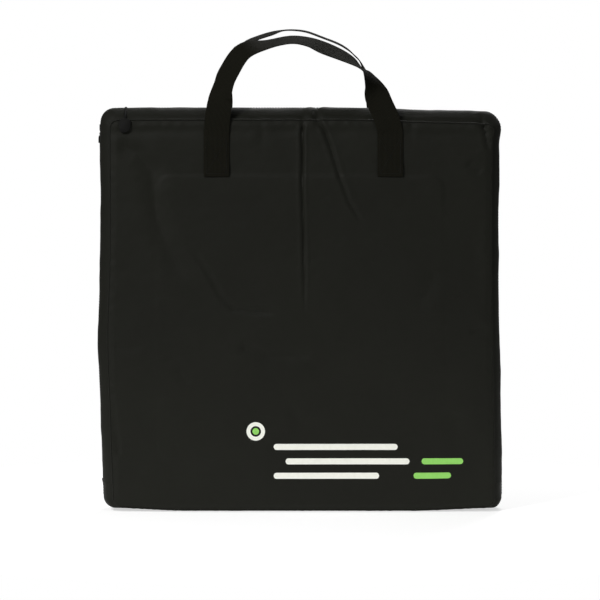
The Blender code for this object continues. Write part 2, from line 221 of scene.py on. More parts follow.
# %% [markdown]
# ## Waves and creases
#
# Coated nylon creases sharply and keeps its folds. Two things are added to a flat wall: soft waves
# from a few crossing sines, and creases, each a short line that is pressed in, with the cloth
# standing up a little on both sides.


# %% Draw waves and creases
def waves(a, b, size, seed, count=9):
    """Smooth random hills about 1 high and about size across, at coordinates a and b."""
    draw = np.random.default_rng(seed)
    total = np.zeros(np.broadcast(a, b).shape)
    for _ in range(count):
        angle, phase = draw.uniform(0, math.tau, 2)
        wide = size * draw.uniform(0.7, 1.6)
        total += np.sin((a * math.cos(angle) + b * math.sin(angle)) * math.tau / wide + phase)
    return total / math.sqrt(count)


def nearest_on_line(x, z, line):
    """The distance from each point to a line of (x, z) points, and how far along the line it is."""
    best = np.full(x.shape, 1e9)
    along = np.zeros(x.shape)
    for index, ((x0, z0), (x1, z1)) in enumerate(zip(line, line[1:])):
        dx, dz = x1 - x0, z1 - z0
        share = np.clip(((x - x0) * dx + (z - z0) * dz) / (dx * dx + dz * dz), 0, 1)
        away = np.hypot(x - x0 - share * dx, z - z0 - share * dz)
        closer = away < best
        best = np.where(closer, away, best)
        along = np.where(closer, (index + share) / (len(line) - 1), along)
    return best, along


def crease(x, z, line, deep, shallow, width):
    """Height in metres, below zero in the fold; the line and the sizes are in millimetres."""
    away, along = nearest_on_line(x / MM, z / MM, line)
    depth = deep + (shallow - deep) * along
    depth = depth * ease(along, -0.02, 0.10) * (1 - ease(along, 0.85, 1.02))
    fall = np.exp(-((away / width) ** 1.4))
    ridge = 0.18 * np.exp(-(((away - 2.1 * width) / (1.3 * width)) ** 2))
    return MM * depth * (ridge - fall)


# The folds of the front, as (points in x and z, depth at the start, depth at the end, half width).
FRONT_CREASES = (
    (((5, 589), (3, 570), (4, 540), (3, 497), (5, 433), (6, 375), (7, 300)), 4.2, 2.2, 2.4),
    (((28, 589), (37, 575), (47, 548), (60, 507), (74, 470), (97, 433)), 4.0, 1.4, 2.9),
    (((-164, 398), (-137, 360), (-118, 324), (-99, 307), (-67, 303), (-35, 301)), 1.2, 3.0, 3.6),
    (((-92, 251), (-45, 237), (20, 238)), 3.2, 2.2, 8.0),
    (((-283, 553), (-250, 543), (-227, 516), (-220, 452), (-206, 408), (-168, 340)), 3.4, 2.2, 12.0),
    (((277, 590), (280, 579), (284, 564), (287, 548)), 5.0, 2.4, 3.0),
    (((-288, 165), (-284, 120), (-281, 84)), 1.0, 3.0, 3.2),
    (((256, 530), (266, 522), (276, 514)), 2.0, 1.5, 8.0),
    (((205, 366), (192, 335), (178, 305)), 1.3, 0.9, 11.0),
    (((258, 274), (276, 276), (287, 277)), 1.2, 1.8, 7.0),
    (((-14, 156), (-4, 140), (2, 128)), 1.0, 0.7, 8.0),
    (((236, 152), (232, 118), (236, 92)), 1.1, 0.8, 13.0),
    (((-187, 215), (-177, 203), (-166, 194)), 1.2, 0.8, 6.0),
    (((-282, 250), (-262, 246), (-236, 256)), 1.4, 0.5, 7.0),
    (((-60, 588), (-56, 570), (-60, 548)), 1.6, 0.4, 6.0),
    (((170, 588), (166, 572), (172, 556)), 1.2, 0.4, 5.0),
)
BACK_CREASES = (
    (((20, 588), (16, 530), (22, 460), (12, 400)), 2.6, 0.8, 5.0),
    (((-150, 420), (-120, 370), (-70, 340)), 1.6, 1.2, 6.0),
    (((200, 540), (230, 480), (225, 420)), 2.0, 1.0, 11.0),
    (((60, 210), (110, 190), (160, 196)), 1.4, 1.0, 8.0),
    (((-240, 180), (-215, 140), (-220, 100)), 1.4, 0.8, 10.0),
)


def board_print(x, z):
    """1 where the stiffener board presses on the cloth, 0 away from it, over a soft step."""
    half = (board_high.x - board_low.x) / 2
    mid = (board_high.z + board_low.z) / 2
    tall = (board_high.z - board_low.z) / 2
    round_off = 18 * MM
    past_x = np.maximum(np.abs(x) - (half - round_off), 0)
    past_z = np.maximum(np.abs(z - mid) - (tall - round_off), 0)
    outside = np.hypot(past_x, past_z) - round_off
    return 1 - ease(outside, -2.0 * MM, 3.0 * MM)


def wall_relief(x, z, creases, seed):
    """How far the cloth of a large wall stands out from the frame's flat face, in metres."""
    edge = np.minimum(panel_x - np.abs(x), np.minimum(z - panel_base, panel_top - z))
    inside = ease(edge, 0.0, 28 * MM)
    across = x / panel_x
    up = (z - panel_mid_z) / (panel_top - panel_mid_z)
    height = -0.8 * MM + 1.6 * MM * ease(edge, 0.0, 7 * MM)
    height += 3.2 * MM * (1 - across**2) * (1 - up**2)
    shown = 0.22 + 0.78 * ease(z, board_high.z - 75 * MM, board_high.z - 20 * MM)
    shown += 0.45 * ease(-z, -0.12, -0.09) * ease(-x, 0.08, 0.14)
    height += 1.4 * MM * board_print(x, z) * shown
    slack = 0.6 + 0.4 * ease(-x, 0.12, 0.16) + 0.3 * waves(x, z * 0, 0.10, seed + 4)
    height -= 2.3 * MM * slack * np.exp(-(((z - panel_top + 15 * MM) / (8 * MM)) ** 2))
    height += inside * (0.75 * MM * waves(x, z, 0.16, seed) + 0.28 * MM * waves(x, z, 0.055, seed + 1))
    height += ease(edge, 0, 10 * MM) * 0.10 * MM * waves(x, z, 0.021, seed + 2)
    pucker = 1 - ease(edge, 2 * MM, 16 * MM)
    height += pucker * 0.30 * MM * waves(x, z, 0.015, seed + 3)
    for line, deep, shallow, width in creases:
        height += crease(x, z, line, deep, shallow, width)
    return height


def front_face(x, z, lift=0.0):
    """The y of the front cloth at unsettled x and z, and lift metres off it."""
    x, z = np.asarray(x, float), np.asarray(z, float)
    return -wall_y - wall_relief(x, z, FRONT_CREASES, 11) - lift


def back_face(x, z, lift=0.0):
    x, z = np.asarray(x, float), np.asarray(z, float)
    return wall_y + wall_relief(x, z, BACK_CREASES, 47) + lift


print(len(FRONT_CREASES), "folds on the front,", len(BACK_CREASES), "on the back")

# %% [markdown]
# ## Materials
#
# A colour is written as the sRGB hex a person would read off a swatch and is turned to linear once.
# One small function adds a node, sets it and plugs it in, so each finish reads as a short recipe.


# %% Colour and node helpers
def swatch(text):
    values = [int(text[i : i + 2], 16) / 255 for i in (1, 3, 5)]
    linear = [v / 12.92 if v <= 0.04045 else ((v + 0.055) / 1.055) ** 2.4 for v in values]
    return (*linear, 1.0)


def put(tree, kind, *wires, **settings):
    """Adds a node. A wire is (input, value or output socket); a setting is one of its fields."""
    made = tree.nodes.new("ShaderNode" + kind)
    for field, value in settings.items():
        setattr(made, field, value)
    for where, what in wires:
        if isinstance(what, bpy.types.NodeSocket):
            tree.links.new(what, made.inputs[where])
        else:
            made.inputs[where].default_value = what
    return made


def maths(tree, operation, *values):
    wires = [(index, value) for index, value in enumerate(values)]
    return put(tree, "Math", *wires, operation=operation).outputs[0]


def start_finish(name, roughness, **inputs):
    finish = bpy.data.materials.new(name)
    finish.use_nodes = True
    tree = finish.node_tree
    shader = tree.nodes["Principled BSDF"]
    shader.inputs["Roughness"].default_value = roughness
    for label, value in inputs.items():
        shader.inputs[label.replace("_", " ")].default_value = value
    return finish, tree, shader


def bump_onto(tree, shader, height, distance, strength=1.0):
    bump = put(tree, "Bump", ("Height", height), ("Distance", distance), ("Strength", strength))
    tree.links.new(bump.outputs["Normal"], shader.inputs["Normal"])


def mixed_colour(tree, shader, factor, dark, light):
    mix = put(tree, "Mix", (0, factor), (6, swatch(dark)), (7, swatch(light)), data_type="RGBA")
    tree.links.new(mix.outputs[2], shader.inputs["Base Color"])


# %% [markdown]
# ### Coated nylon oxford
#
# The walls are nylon oxford: a plain weave, dyed black, with a polyurethane coating on the back.
# The eye gets a dull surface with a faint grain, a soft sheen at grazing angles and slightly paler
# cloth where it has been handled. A real thread is 0.4 mm wide, too fine to show at this size, so
# the weave is drawn at 1.1 mm.


# %% Nylon oxford and its relatives
def woven_cloth(name, dark, light, thread, roughness, bump, sheen, specular):
    finish, tree, shader = start_finish(
        name, roughness, Sheen_Weight=sheen, Sheen_Roughness=0.45, Specular_IOR_Level=specular
    )
    cloth = put(tree, "UVMap", uv_map="cloth").outputs["UV"]
    parts = put(tree, "SeparateXYZ", (0, cloth))
    turns = math.tau / (2 * thread)
    warp = maths(tree, "SINE", maths(tree, "MULTIPLY", parts.outputs[0], turns))
    weft = maths(tree, "SINE", maths(tree, "MULTIPLY", parts.outputs[1], turns))
    weave = maths(tree, "MULTIPLY_ADD", maths(tree, "MULTIPLY", warp, weft), 0.5, 0.5)
    crush = put(tree, "TexNoise", ("Vector", cloth), ("Scale", 90.0), ("Detail", 4.0))
    worn = put(tree, "TexNoise", ("Vector", cloth), ("Scale", 5.0), ("Detail", 5.0))
    rise = maths(tree, "MULTIPLY_ADD", crush.outputs[0], 1.6, weave)
    bump_onto(tree, shader, rise, bump)
    tone = maths(tree, "MULTIPLY_ADD", weave, 0.35, maths(tree, "MULTIPLY", worn.outputs[0], 0.8))
    mixed_colour(tree, shader, tone, dark, light)
    return finish


oxford = woven_cloth("nylon_oxford_black", "#0E0E09", "#181912", 1.1 * MM, 0.60, 0.00016, 0.05, 0.15)
lining_cloth = woven_cloth(
    "polyester_lining_black", "#141415", "#26262A", 0.8 * MM, 0.50, 0.00008, 0.15, 0.30
)
binding_cloth = woven_cloth(
    "grosgrain_binding_black", "#0E0E0E", "#232323", 1.4 * MM, 0.70, 0.00020, 0.10, 0.20
)
print("cloth finishes:", oxford.name, lining_cloth.name, binding_cloth.name)

# %% [markdown]
# ### Polypropylene webbing
#
# Webbing is woven flat from thick cords, so it shows rows of cords along its length, with each
# cord dipping under the weft in turn. Polypropylene is waxy: dark, with a low, broad shine.


# %% Webbing
def webbing_finish():
    finish, tree, shader = start_finish(
        "polypropylene_webbing_black", 0.80, Sheen_Weight=0.0, Specular_IOR_Level=0.06
    )
    cord, pick = 1.9 * MM, 2.6 * MM
    parts = put(tree, "SeparateXYZ", (0, put(tree, "UVMap", uv_map="cloth").outputs["UV"]))
    lane = maths(tree, "DIVIDE", parts.outputs[0], cord)
    ridge = maths(tree, "ABSOLUTE", maths(tree, "SINE", maths(tree, "MULTIPLY", lane, math.pi)))
    swap = maths(tree, "MULTIPLY", maths(tree, "FLOOR", lane), math.pi)
    along = maths(tree, "MULTIPLY_ADD", parts.outputs[1], math.tau / pick, swap)
    dip = maths(tree, "MULTIPLY_ADD", maths(tree, "SINE", along), 0.3, 0.7)
    weave = maths(tree, "MULTIPLY", ridge, dip)
    bump_onto(tree, shader, weave, 0.00055)
    mixed_colour(tree, shader, weave, "#0A0A07", "#201F17")
    return finish


webbing = webbing_finish()
print("webbing finish:", webbing.name)

# %% [markdown]
# ### Zip, thread, metal, rubber, ink and board
#
# The coil is bright drawn nylon and the tape is a fine ribbed knit. The sliders are zinc, cast and
# stoved with black enamel that is rubbed a little paler. Thread is polyester. The stiffener boards
# are the only pieces kept from the frame, so they are given their finish here.


# %% Small finishes
def plain_finish(name, dark, light, roughness, grain, bump, metallic=0.0, specular=0.3, coat=0.0):
    finish, tree, shader = start_finish(
        name, roughness, Metallic=metallic, Specular_IOR_Level=specular, Coat_Weight=coat
    )
    place = put(tree, "TexCoord").outputs["Object"]
    noise = put(tree, "TexNoise", ("Vector", place), ("Scale", 1 / grain), ("Detail", 3.0))
    bump_onto(tree, shader, noise.outputs[0], bump)
    mixed_colour(tree, shader, noise.outputs[0], dark, light)
    return finish


coil_nylon = plain_finish("nylon_coil_black", "#0A0A0A", "#1C1C1C", 0.38, 3 * MM, 0.00003, specular=0.4)
tape_knit = woven_cloth("zip_tape_knit_black", "#090908", "#1A1A18", 0.9 * MM, 0.75, 0.00012, 0.08, 0.18)
enamel = plain_finish("black_enamelled_zinc", "#0B0B0B", "#262626", 0.34, 6 * MM, 0.00004, 0.35, 0.5, 0.25)
thread = plain_finish("polyester_thread_black", "#060605", "#141412", 0.55, 1 * MM, 0.00005, specular=0.2)
board = plain_finish("fluted_polypropylene_board", "#2A2A2C", "#3B3B3E", 0.5, 4 * MM, 0.0001, specular=0.3)
ink_white = plain_finish("screen_print_white", "#E9EADF", "#F6F7EE", 0.55, 5 * MM, 0.00003, specular=0.3)
ink_green = plain_finish("screen_print_green", "#84C95A", "#97D86C", 0.55, 5 * MM, 0.00003, specular=0.3)
moulded_rubber = plain_finish(
    "moulded_black_rubber", "#070706", "#10100E", 0.68, 2 * MM, 0.00006, specular=0.14
)
print("small finishes:", ", ".join(m.name for m in (coil_nylon, tape_knit, enamel, thread, board)))

for name in ("front_stiffener", "back_stiffener"):
    frame["nodes"][name].data.materials.clear()
    frame["nodes"][name].data.materials.append(board)

# %% [markdown]
# ## The two large walls
#
# Each wall is cloth laid over foam. Its outline is a rectangle with rounded corners, so a square
# grid is bent to that outline only inside the corners. The outer side takes the relief and the
# inner side stays flat against the board. The cloth's edge is drawn out a little to meet the seam.


# %% Make the walls
def bent_to_outline(u, v, radius):
    """Unit square coordinates turned into x and z on the wall, with round corners."""
    tall = (panel_top - panel_base) / 2
    x, z = u * panel_x, v * tall
    past_x = np.maximum(np.abs(x) - (panel_x - radius), 0) / radius
    past_z = np.maximum(np.abs(z) - (tall - radius), 0) / radius
    both = (past_x > 0) & (past_z > 0)
    round_x = past_x * np.sqrt(1 - past_z**2 / 2)
    round_z = past_z * np.sqrt(1 - past_x**2 / 2)
    x = np.where(both, np.sign(x) * (panel_x - radius + radius * round_x), x)
    z = np.where(both, np.sign(z) * (tall - radius + radius * round_z), z)
    return x, z + panel_mid_z


WALL_STEPS = 224


def wall_columns(facing):
    """Places from -1 to 1 across a wall, closer together where the folds of the front run."""
    even = np.linspace(-1, 1, 4000)
    x = even * panel_x
    crowd = 1 + 1.3 * ease(x, -14 * MM, -6 * MM) * (1 - ease(x, 95 * MM, 120 * MM)) * (facing < 0)
    total = np.cumsum(crowd)
    total = (total - total[0]) / (total[-1] - total[0])
    return np.interp(np.linspace(0, 1, WALL_STEPS), total, even)


def make_wall(name, face, facing, body):
    u, v = np.meshgrid(wall_columns(facing), np.linspace(-1, 1, WALL_STEPS), indexing="ij")
    x, z = bent_to_outline(u, v, PANEL_CORNER)
    edge = np.minimum(panel_x - np.abs(x), np.minimum(z - panel_base, panel_top - z))
    closing = 1 - ease(edge, -0.5 * MM, 4 * MM)
    wider = 1 + closing * 0.9 * MM / panel_x
    taller = 1 + closing * 0.3 * MM / panel_x
    outer = np.stack([x * wider, face(x, z), (z - panel_mid_z) * taller + panel_mid_z], axis=-1)
    outer = settle(outer)
    reach = 1 + 1.5 * MM / panel_x
    inner_y = np.full(x.shape, facing * foam_y)
    inner = np.stack([x * reach, inner_y, (z - panel_mid_z) * reach + panel_mid_z], axis=-1)
    made = shell(name, outer, settle(inner), np.stack([x, z], axis=-1))
    half = "front" if facing < 0 else "back"
    dress(made, oxford, body, "nylon_cloth", half + "_panel", half + "_foam")
    return made


make_wall("front_wall", front_face, -1, "front_cover")
make_wall("back_wall", back_face, 1, "back_tray")

# %% [markdown]
# ## Paths round the case
#
# The gusset, the zip tape, the coil, the binding and their stitches all follow one arch: up the
# left side, over the top and down the right side. A station on it is a place, the direction
# outwards and the length so far.


# %% The arch
def arch(half_width, low, high, radius, spacing, closed_low=None):
    """Stations on an arch, or on a whole ring if the radius of its lower corners is given."""
    runs = []

    def line(x0, z0, x1, z1, out):
        steps = max(1, round(math.hypot(x1 - x0, z1 - z0) / spacing))
        for step in range(steps):
            share = step / steps
            runs.append((x0 + (x1 - x0) * share, z0 + (z1 - z0) * share, *out))

    def bend(cx, cz, r, first, last):
        steps = max(4, round(r * math.pi / 2 / spacing))
        for step in range(steps):
            angle = math.radians(first + (last - first) * step / steps)
            out_x, out_z = math.cos(angle), math.sin(angle)
            runs.append((cx + r * out_x, cz + r * out_z, out_x, out_z))

    foot = low + (closed_low or 0)
    line(-half_width, foot, -half_width, high - radius, (-1, 0))
    bend(-half_width + radius, high - radius, radius, 180, 90)
    line(-half_width + radius, high, half_width - radius, high, (0, 1))
    bend(half_width - radius, high - radius, radius, 90, 0)
    line(half_width, high - radius, half_width, foot, (1, 0))
    if closed_low:
        bend(half_width - closed_low, foot, closed_low, 0, -90)
        line(half_width - closed_low, low, -half_width + closed_low, low, (0, -1))
        bend(-half_width + closed_low, foot, closed_low, -90, -180)
    else:
        runs.append((half_width, low, 1, 0))
    path = np.array(runs)
    steps = np.hypot(*np.diff(path[:, :2], axis=0).T)
    return path, np.concatenate([[0], np.cumsum(steps)])


def on_arch(path, depth, inset, facing):
    """Points at a distance from the middle and an inset from the arch; both may vary by station."""
    x = path[:, 0] - path[:, 2] * inset
    z = path[:, 1] - path[:, 3] * inset
    return np.stack([x, np.broadcast_to(facing * np.asarray(depth), x.shape), z], axis=-1)


# %% [markdown]
# ## The gussets
#
# A gusset half is one long strip of the same nylon. It leaves the wall's seam, swells over a crest
# and dips to the zip. The strip is too long for its seams, as hand-fed strips are, so it puckers
# along them, and it is pinched where the wall's big folds run over the top.

# %% Make the gussets
# Distance from the zip in mm, then how far from the seam (0) to the crest (1), at the sides, on top.
SEAM_TO_CREST = (
    (33.8, 0.00, 0.00),
    (33.0, 0.16, 0.11),
    (30.5, 0.46, 0.34),
    (26.0, 0.77, 0.60),
    (20.5, 0.95, 0.86),
    (15.0, 1.0, 1.0),
)
# Distance from the zip and inset from the crest, in mm, down to the edge along the zip.
CREST_TO_ZIP = ((11.0, 1.4), (8.2, 4.6), (6.4, 8.0))


def smooth_section(section, count):
    """The section's points joined by a smooth curve and read at even steps."""
    section = np.array(section, float) * MM
    places = np.linspace(0, len(section) - 1, count)
    rows = []
    for place in places:
        index = min(int(place), len(section) - 2)
        t = place - index
        a = section[max(index - 1, 0)]
        b, c = section[index], section[index + 1]
        d = section[min(index + 2, len(section) - 1)]
        squared, cubed = 2 * a - 5 * b + 4 * c - d, 3 * b - a - 3 * c + d
        rows.append(0.5 * (2 * b + (c - a) * t + squared * t**2 + cubed * t**3))
    return np.array(rows)


def gusset_dents(x, z, facing):
    """Where the strip is pushed in: by the wall's folds at the top and at the sliders' corner."""
    dent = 2.6 * np.exp(-(((x - 0.026) / 0.006) ** 2)) * ease(z, 0.55, 0.59)
    dent += 1.3 * np.exp(-(((x - 0.004) / 0.007) ** 2)) * ease(z, 0.55, 0.59)
    dent += 1.2 * np.exp(-(((x + 0.066) / 0.009) ** 2)) * ease(z, 0.55, 0.59)
    dent += 2.4 * np.exp(-((np.hypot(x - 0.292, z - 0.592) / 0.010) ** 2))
    return MM * dent * (1.0 if facing < 0 else 0.4)


def roll_line(path, low, low_radius):
    """For each station of the crest, the matching point on the seam roll round the wall."""
    welt_low, welt_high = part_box("front_welt")
    radius = (welt_high.y - welt_low.y) / 2
    half, top, bottom = welt_high.x - radius, welt_high.z - radius, welt_low.z + radius
    upper = path[:, 1] > crest_z / 2
    crest_r = np.where(upper, crest_radius, low_radius)
    roll_r = np.where(upper, 12 * MM, 14 * MM)
    x = (path[:, 0] - crest_r * path[:, 2]) / (crest_x - crest_r) * (half - roll_r) + roll_r * path[:, 2]
    crest_span = [low + low_radius, crest_z - crest_radius]
    roll_span = [bottom + 14 * MM, top - 12 * MM]
    z_in = np.interp(path[:, 1] - crest_r * path[:, 3], crest_span, roll_span)
    return x, z_in + roll_r * path[:, 3]


def strip_grid(path, seam_rows, zip_rows, facing, low, low_radius):
    """y, x and z of a strip from the seam roll over the crest, one row for each station."""
    seam_x, seam_z = (value[:, None] for value in roll_line(path, low, low_radius))
    top_share = np.abs(path[:, 3])[:, None]
    seam_rows = np.array(seam_rows)
    share = seam_rows[None, :, 1] * (1 - top_share) + seam_rows[None, :, 2] * top_share
    x = seam_x + (path[:, 0:1] - seam_x) * share
    z = seam_z + (path[:, 1:2] - seam_z) * share
    depth = np.repeat(seam_rows[None, :, 0] * MM, len(path), axis=0)
    for row_depth, inset in zip_rows:
        x = np.hstack([x, path[:, 0:1] - path[:, 2:3] * inset * MM])
        z = np.hstack([z, path[:, 1:2] - path[:, 3:4] * inset * MM])
        depth = np.hstack([depth, np.full((len(path), 1), row_depth * MM)])
    return facing * depth, x, z


def finer(grid, count):
    """A grid of numbers read smoothly at more columns."""
    return np.stack([smooth_section(row[:, None] / MM, count)[:, 0] for row in grid])


def make_gusset(half, facing, body, seed):
    spacing = 2.4 * MM
    path, length = arch(crest_x, gusset_low, crest_z, crest_radius, spacing)
    count = 24
    grids = strip_grid(path, SEAM_TO_CREST, CREST_TO_ZIP, facing, 0.0, 16 * MM)
    y, x, z = (finer(grid, count) for grid in grids)
    across = np.linspace(0, 1, count)[None, :]
    s = length[:, None]
    ripple = 0.65 * MM * waves(s, y, 0.085, seed) + 0.25 * MM * waves(s, y, 0.030, seed + 1)
    pucker = (1 - ease(across, 0.0, 0.30)) * 0.34 * MM * waves(s, y * 0.3, 0.012, seed + 2)
    zip_pucker = ease(across, 0.62, 1.0) * 0.30 * MM * waves(s, y * 0.3, 0.014, seed + 3)
    swell = np.sin(across * math.pi)
    raised = swell * ripple + pucker * ease(across, 0, 0.06) + zip_pucker * (1 - ease(across, 0.93, 1.0))
    raised = raised - swell * gusset_dents(x, z, facing)
    x, z = x + path[:, 2:3] * raised, z + path[:, 3:4] * raised
    outer = np.stack([x, y, z], axis=-1)
    inner = np.stack([x - path[:, 2:3] * GUSSET_CLOTH, y, z - path[:, 3:4] * GUSSET_CLOTH], axis=-1)
    uv = np.stack([np.broadcast_to(across * 0.045, x.shape), np.broadcast_to(s, x.shape)], axis=-1)
    made = shell(half + "_gusset", settle(outer), settle(inner), uv)
    names = [f"{half}_gusset_{side}" for side in ("left", "top", "right")]
    dress(made, oxford, body, "nylon_cloth", *names)
    return made


make_gusset("front", -1, "front_cover", 101)
make_gusset("back", 1, "back_tray", 131)

# %% [markdown]
# ## The seam roll round each wall
#
# Where the wall is sewn to the gusset the allowances are turned inwards and the seam stands up as
# a narrow roll. It is the pale line that outlines the front, uneven because a needle has pulled it.


# %% Make the seam rolls
def round_bar(name, path, length, depth, inset, radius_at, facing, sides=10):
    """A closed bar that follows a ring of stations."""
    turns = np.arange(sides) * math.tau / sides
    radius = radius_at[:, None]
    out = -inset + radius * np.sin(turns)[None, :]
    x = path[:, 0:1] + path[:, 2:3] * out
    z = path[:, 1:2] + path[:, 3:4] * out
    y = facing * (depth + radius * np.cos(turns)[None, :])
    verts = settle(np.stack([x, y, z], axis=-1))
    around = np.broadcast_to(turns[None, :] * 2 * MM, x.shape)
    uv = np.stack([around, np.repeat(length[:, None], sides, 1)], axis=-1)
    faces = grid_faces(len(path), sides, 0, wrap_rows=True, wrap_cols=True)
    return finish_mesh(name, verts.reshape(-1, 3), faces, uv.reshape(-1, 2))


def make_seam_roll(half, facing, body, seed):
    welt_low, welt_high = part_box(half + "_welt")
    radius = (welt_high.y - welt_low.y) / 2
    middle = abs(welt_high.y + welt_low.y) / 2
    path, length = arch(
        welt_high.x - radius, welt_low.z + radius, welt_high.z - radius, 12 * MM, 2 * MM, closed_low=14 * MM
    )
    path = path[: len(length)]
    upright = np.abs(path[:, 2])
    uneven = 1 - 0.22 * upright + 0.10 * waves(length, length * 0, 0.011, seed)
    uneven = radius * (uneven + 0.08 * waves(length, length * 0, 0.05, seed + 1))
    made = round_bar(half + "_seam_roll", path, length, middle, 0.0, uneven, facing)
    return dress(made, oxford, body, "nylon_cloth", half + "_welt")


make_seam_roll("front", -1, "front_cover", 151)
make_seam_roll("back", 1, "back_tray", 171)

# %% [markdown]
# ## The base
#
# One strip runs down from the zip's left end, under the bag and up to its right end. The zip stops
# above it, so it joins the two halves. It is one fixed piece that belongs to neither half, so it
# stays put when the cover folds down.

# %% Make the base strip
# Distance from the middle in mm, then how far from the seam (0) to the crest (1), at the sides and
# underneath.
BASE_ROWS = (
    (33.8, 0.0, 0.0),
    (32.0, 0.3, 0.75),
    (29.0, 0.57, 1.0),
    (25.0, 0.80, 1.0),
    (15.0, 1.0, 1.0),
    (0.0, 1.0, 1.0),
)


def make_base():
    corner = 16 * MM
    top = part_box("corner_gusset_left")[1].z
    stations = [(-crest_x, z, -1.0, 0.0) for z in np.linspace(top, corner, 8, endpoint=False)]
    for degrees in np.linspace(180, 270, 12, endpoint=False):
        angle = math.radians(degrees)
        out = (math.cos(angle), math.sin(angle))
        stations.append((-crest_x + corner + corner * out[0], corner + corner * out[1], *out))
    turned_up = len(stations)
    half = crest_x - corner
    stations += [(x, 0.0, 0.0, -1.0) for x in np.linspace(-half, half, 150)]
    stations += [(-x, z, -ox, oz) for x, z, ox, oz in reversed(stations[:turned_up])]
    path = np.array(stations)
    length = np.concatenate([[0], np.cumsum(np.hypot(*np.diff(path[:, :2], axis=0).T))])
    grids = strip_grid(path, BASE_ROWS, (), -1, 0.0, corner)
    front = [finer(grid, 15) for grid in grids]
    y, x, z = (np.hstack([part, part[:, -2::-1] * sign]) for part, sign in zip(front, (-1, 1, 1)))
    sag = 0.35 * MM * np.abs(waves(length[:, None], y, 0.05, 201)) * np.abs(path[:, 2:3])
    x = x - path[:, 2:3] * sag
    outer = np.stack([x, y, z], axis=-1)
    inner = outer - GUSSET_CLOTH * np.stack([path[:, 2:3], path[:, 2:3] * 0, path[:, 3:4]], axis=-1)
    uv = np.stack(np.broadcast_arrays(y, length[:, None]), axis=-1)
    made = shell("base_strip", settle(outer), settle(inner), uv)
    names = ("base_gusset", "corner_gusset_left", "corner_gusset_right")
    dress(made, oxford, None, "nylon_cloth", *names)
    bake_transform(made)
    return made


make_base()

# %% [markdown]
# ## The zip
#
# A coil zip is two tapes, each with a nylon filament wound into loops along its edge. The loops of
# one side sit in the gaps of the other. Here each loop is its own small bent rod, two millimetres
# from the next.

# %% Make the tapes and coils
TAPE_SECTION = ((14.5, 3.0), (10.0, 6.9), (6.0, 10.2), (3.4, 10.5), (1.0, 10.5))
TOOTH_PITCH = 2.0 * MM
TOOTH_RADIUS = 0.42 * MM
TOOTH_LINE = ((4.0, 10.2), (3.9, 8.4), (2.6, 7.7), (1.2, 7.8), (0.55, 8.8), (0.9, 10.0))


def make_tape(half, facing, body):
    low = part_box(half + "_zip_tape")[0].z
    path, length = arch(crest_x, low, crest_z, crest_radius, 5 * MM)
    section = np.array(TAPE_SECTION) * MM
    sheets = []
    for extra in (0.0, 0.9 * MM):
        rows = [on_arch(path, depth, inset + extra, facing) for depth, inset in section]
        sheets.append(settle(np.stack(rows, axis=1)))
    uv = np.stack(np.broadcast_arrays(section[None, :, 0], length[:, None]), axis=-1)
    made = shell(half + "_tape", sheets[0], sheets[1], uv)
    dress(made, tape_knit, body, "zip_nylon", half + "_zip_tape")
    return made


def rods(name, lines, radius, sides=6, body_scale=None):
    """Many short closed rods in one mesh; each line is a row of points."""
    turns = np.arange(sides) * math.tau / sides
    verts, faces = [], []
    for line in lines:
        line = np.asarray(line, float)
        count = len(line)
        tangent = np.gradient(line, axis=0)
        tangent /= np.linalg.norm(tangent, axis=1)[:, None]
        lead = np.array([0.31, 0.52, 0.79])
        side = np.cross(tangent, lead)
        side /= np.linalg.norm(side, axis=1)[:, None]
        up = np.cross(tangent, side)
        size = np.full(count, radius) if body_scale is None else radius * np.asarray(body_scale)
        ring = line[:, None, :] + size[:, None, None] * (
            np.cos(turns)[None, :, None] * side[:, None, :] + np.sin(turns)[None, :, None] * up[:, None, :]
        )
        start = sum(len(v) for v in verts)
        verts.append(ring.reshape(-1, 3))
        faces.append((start, count))
    points = np.vstack(verts)
    mesh_faces = []
    for start, count in faces:
        mesh_faces += [tuple(f) for f in grid_faces(count, sides, start, wrap_cols=True)]
        mesh_faces.append(tuple(range(start, start + sides)))
        mesh_faces.append(tuple(range(start + (count - 1) * sides, start + count * sides)))
    mesh = bpy.data.meshes.new(name)
    mesh.from_pydata([tuple(p) for p in points], [], [tuple(int(i) for i in f) for f in mesh_faces])
    tidy = bmesh.new()
    tidy.from_mesh(mesh)
    bmesh.ops.recalc_face_normals(tidy, faces=tidy.faces)
    tidy.to_mesh(mesh)
    tidy.free()
    mesh.shade_smooth()
    mesh.set_sharp_from_angle(angle=math.radians(50))
    made = bpy.data.objects.new(name, mesh)
    bpy.context.scene.collection.objects.link(made)
    return made


def read_path(path, length, at):
    """Stations at the given lengths along a path."""
    columns = [np.interp(at, length, path[: len(length), k]) for k in range(4)]
    read = np.stack(columns, axis=1)
    read[:, 2:] /= np.linalg.norm(read[:, 2:], axis=1)[:, None]
    return read


def make_coil(half, facing, body):
    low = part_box(half + "_zip_coil")[0].z + TOOTH_RADIUS
    path, length = arch(crest_x, low, crest_z, crest_radius, 3 * MM)
    shift = 0.0 if facing < 0 else TOOTH_PITCH / 2
    stations = read_path(path, length, np.arange(shift, length[-1], TOOTH_PITCH))
    teeth = []
    for depth, inset in np.array(TOOTH_LINE) * MM:
        teeth.append(on_arch(stations, depth, inset, facing))
    lines = settle(np.stack(teeth, axis=1))
    made = rods(half + "_coil", lines, TOOTH_RADIUS, sides=5)
    return dress(made, coil_nylon, body, "zip_nylon", half + "_zip_coil")


for half, facing, body in HALVES:
    make_tape(half, facing, body)
    make_coil(half, facing, body)

# %% [markdown]
# ## Stitching
#
# A lockstitch shows as a row of short raised dashes that sink where the needle went in. Each dash
# is a thin rod, fatter in its middle. A double row holds the gusset to the zip tape.

# %% Sew along the zip
STITCH_PITCH = 4.2 * MM
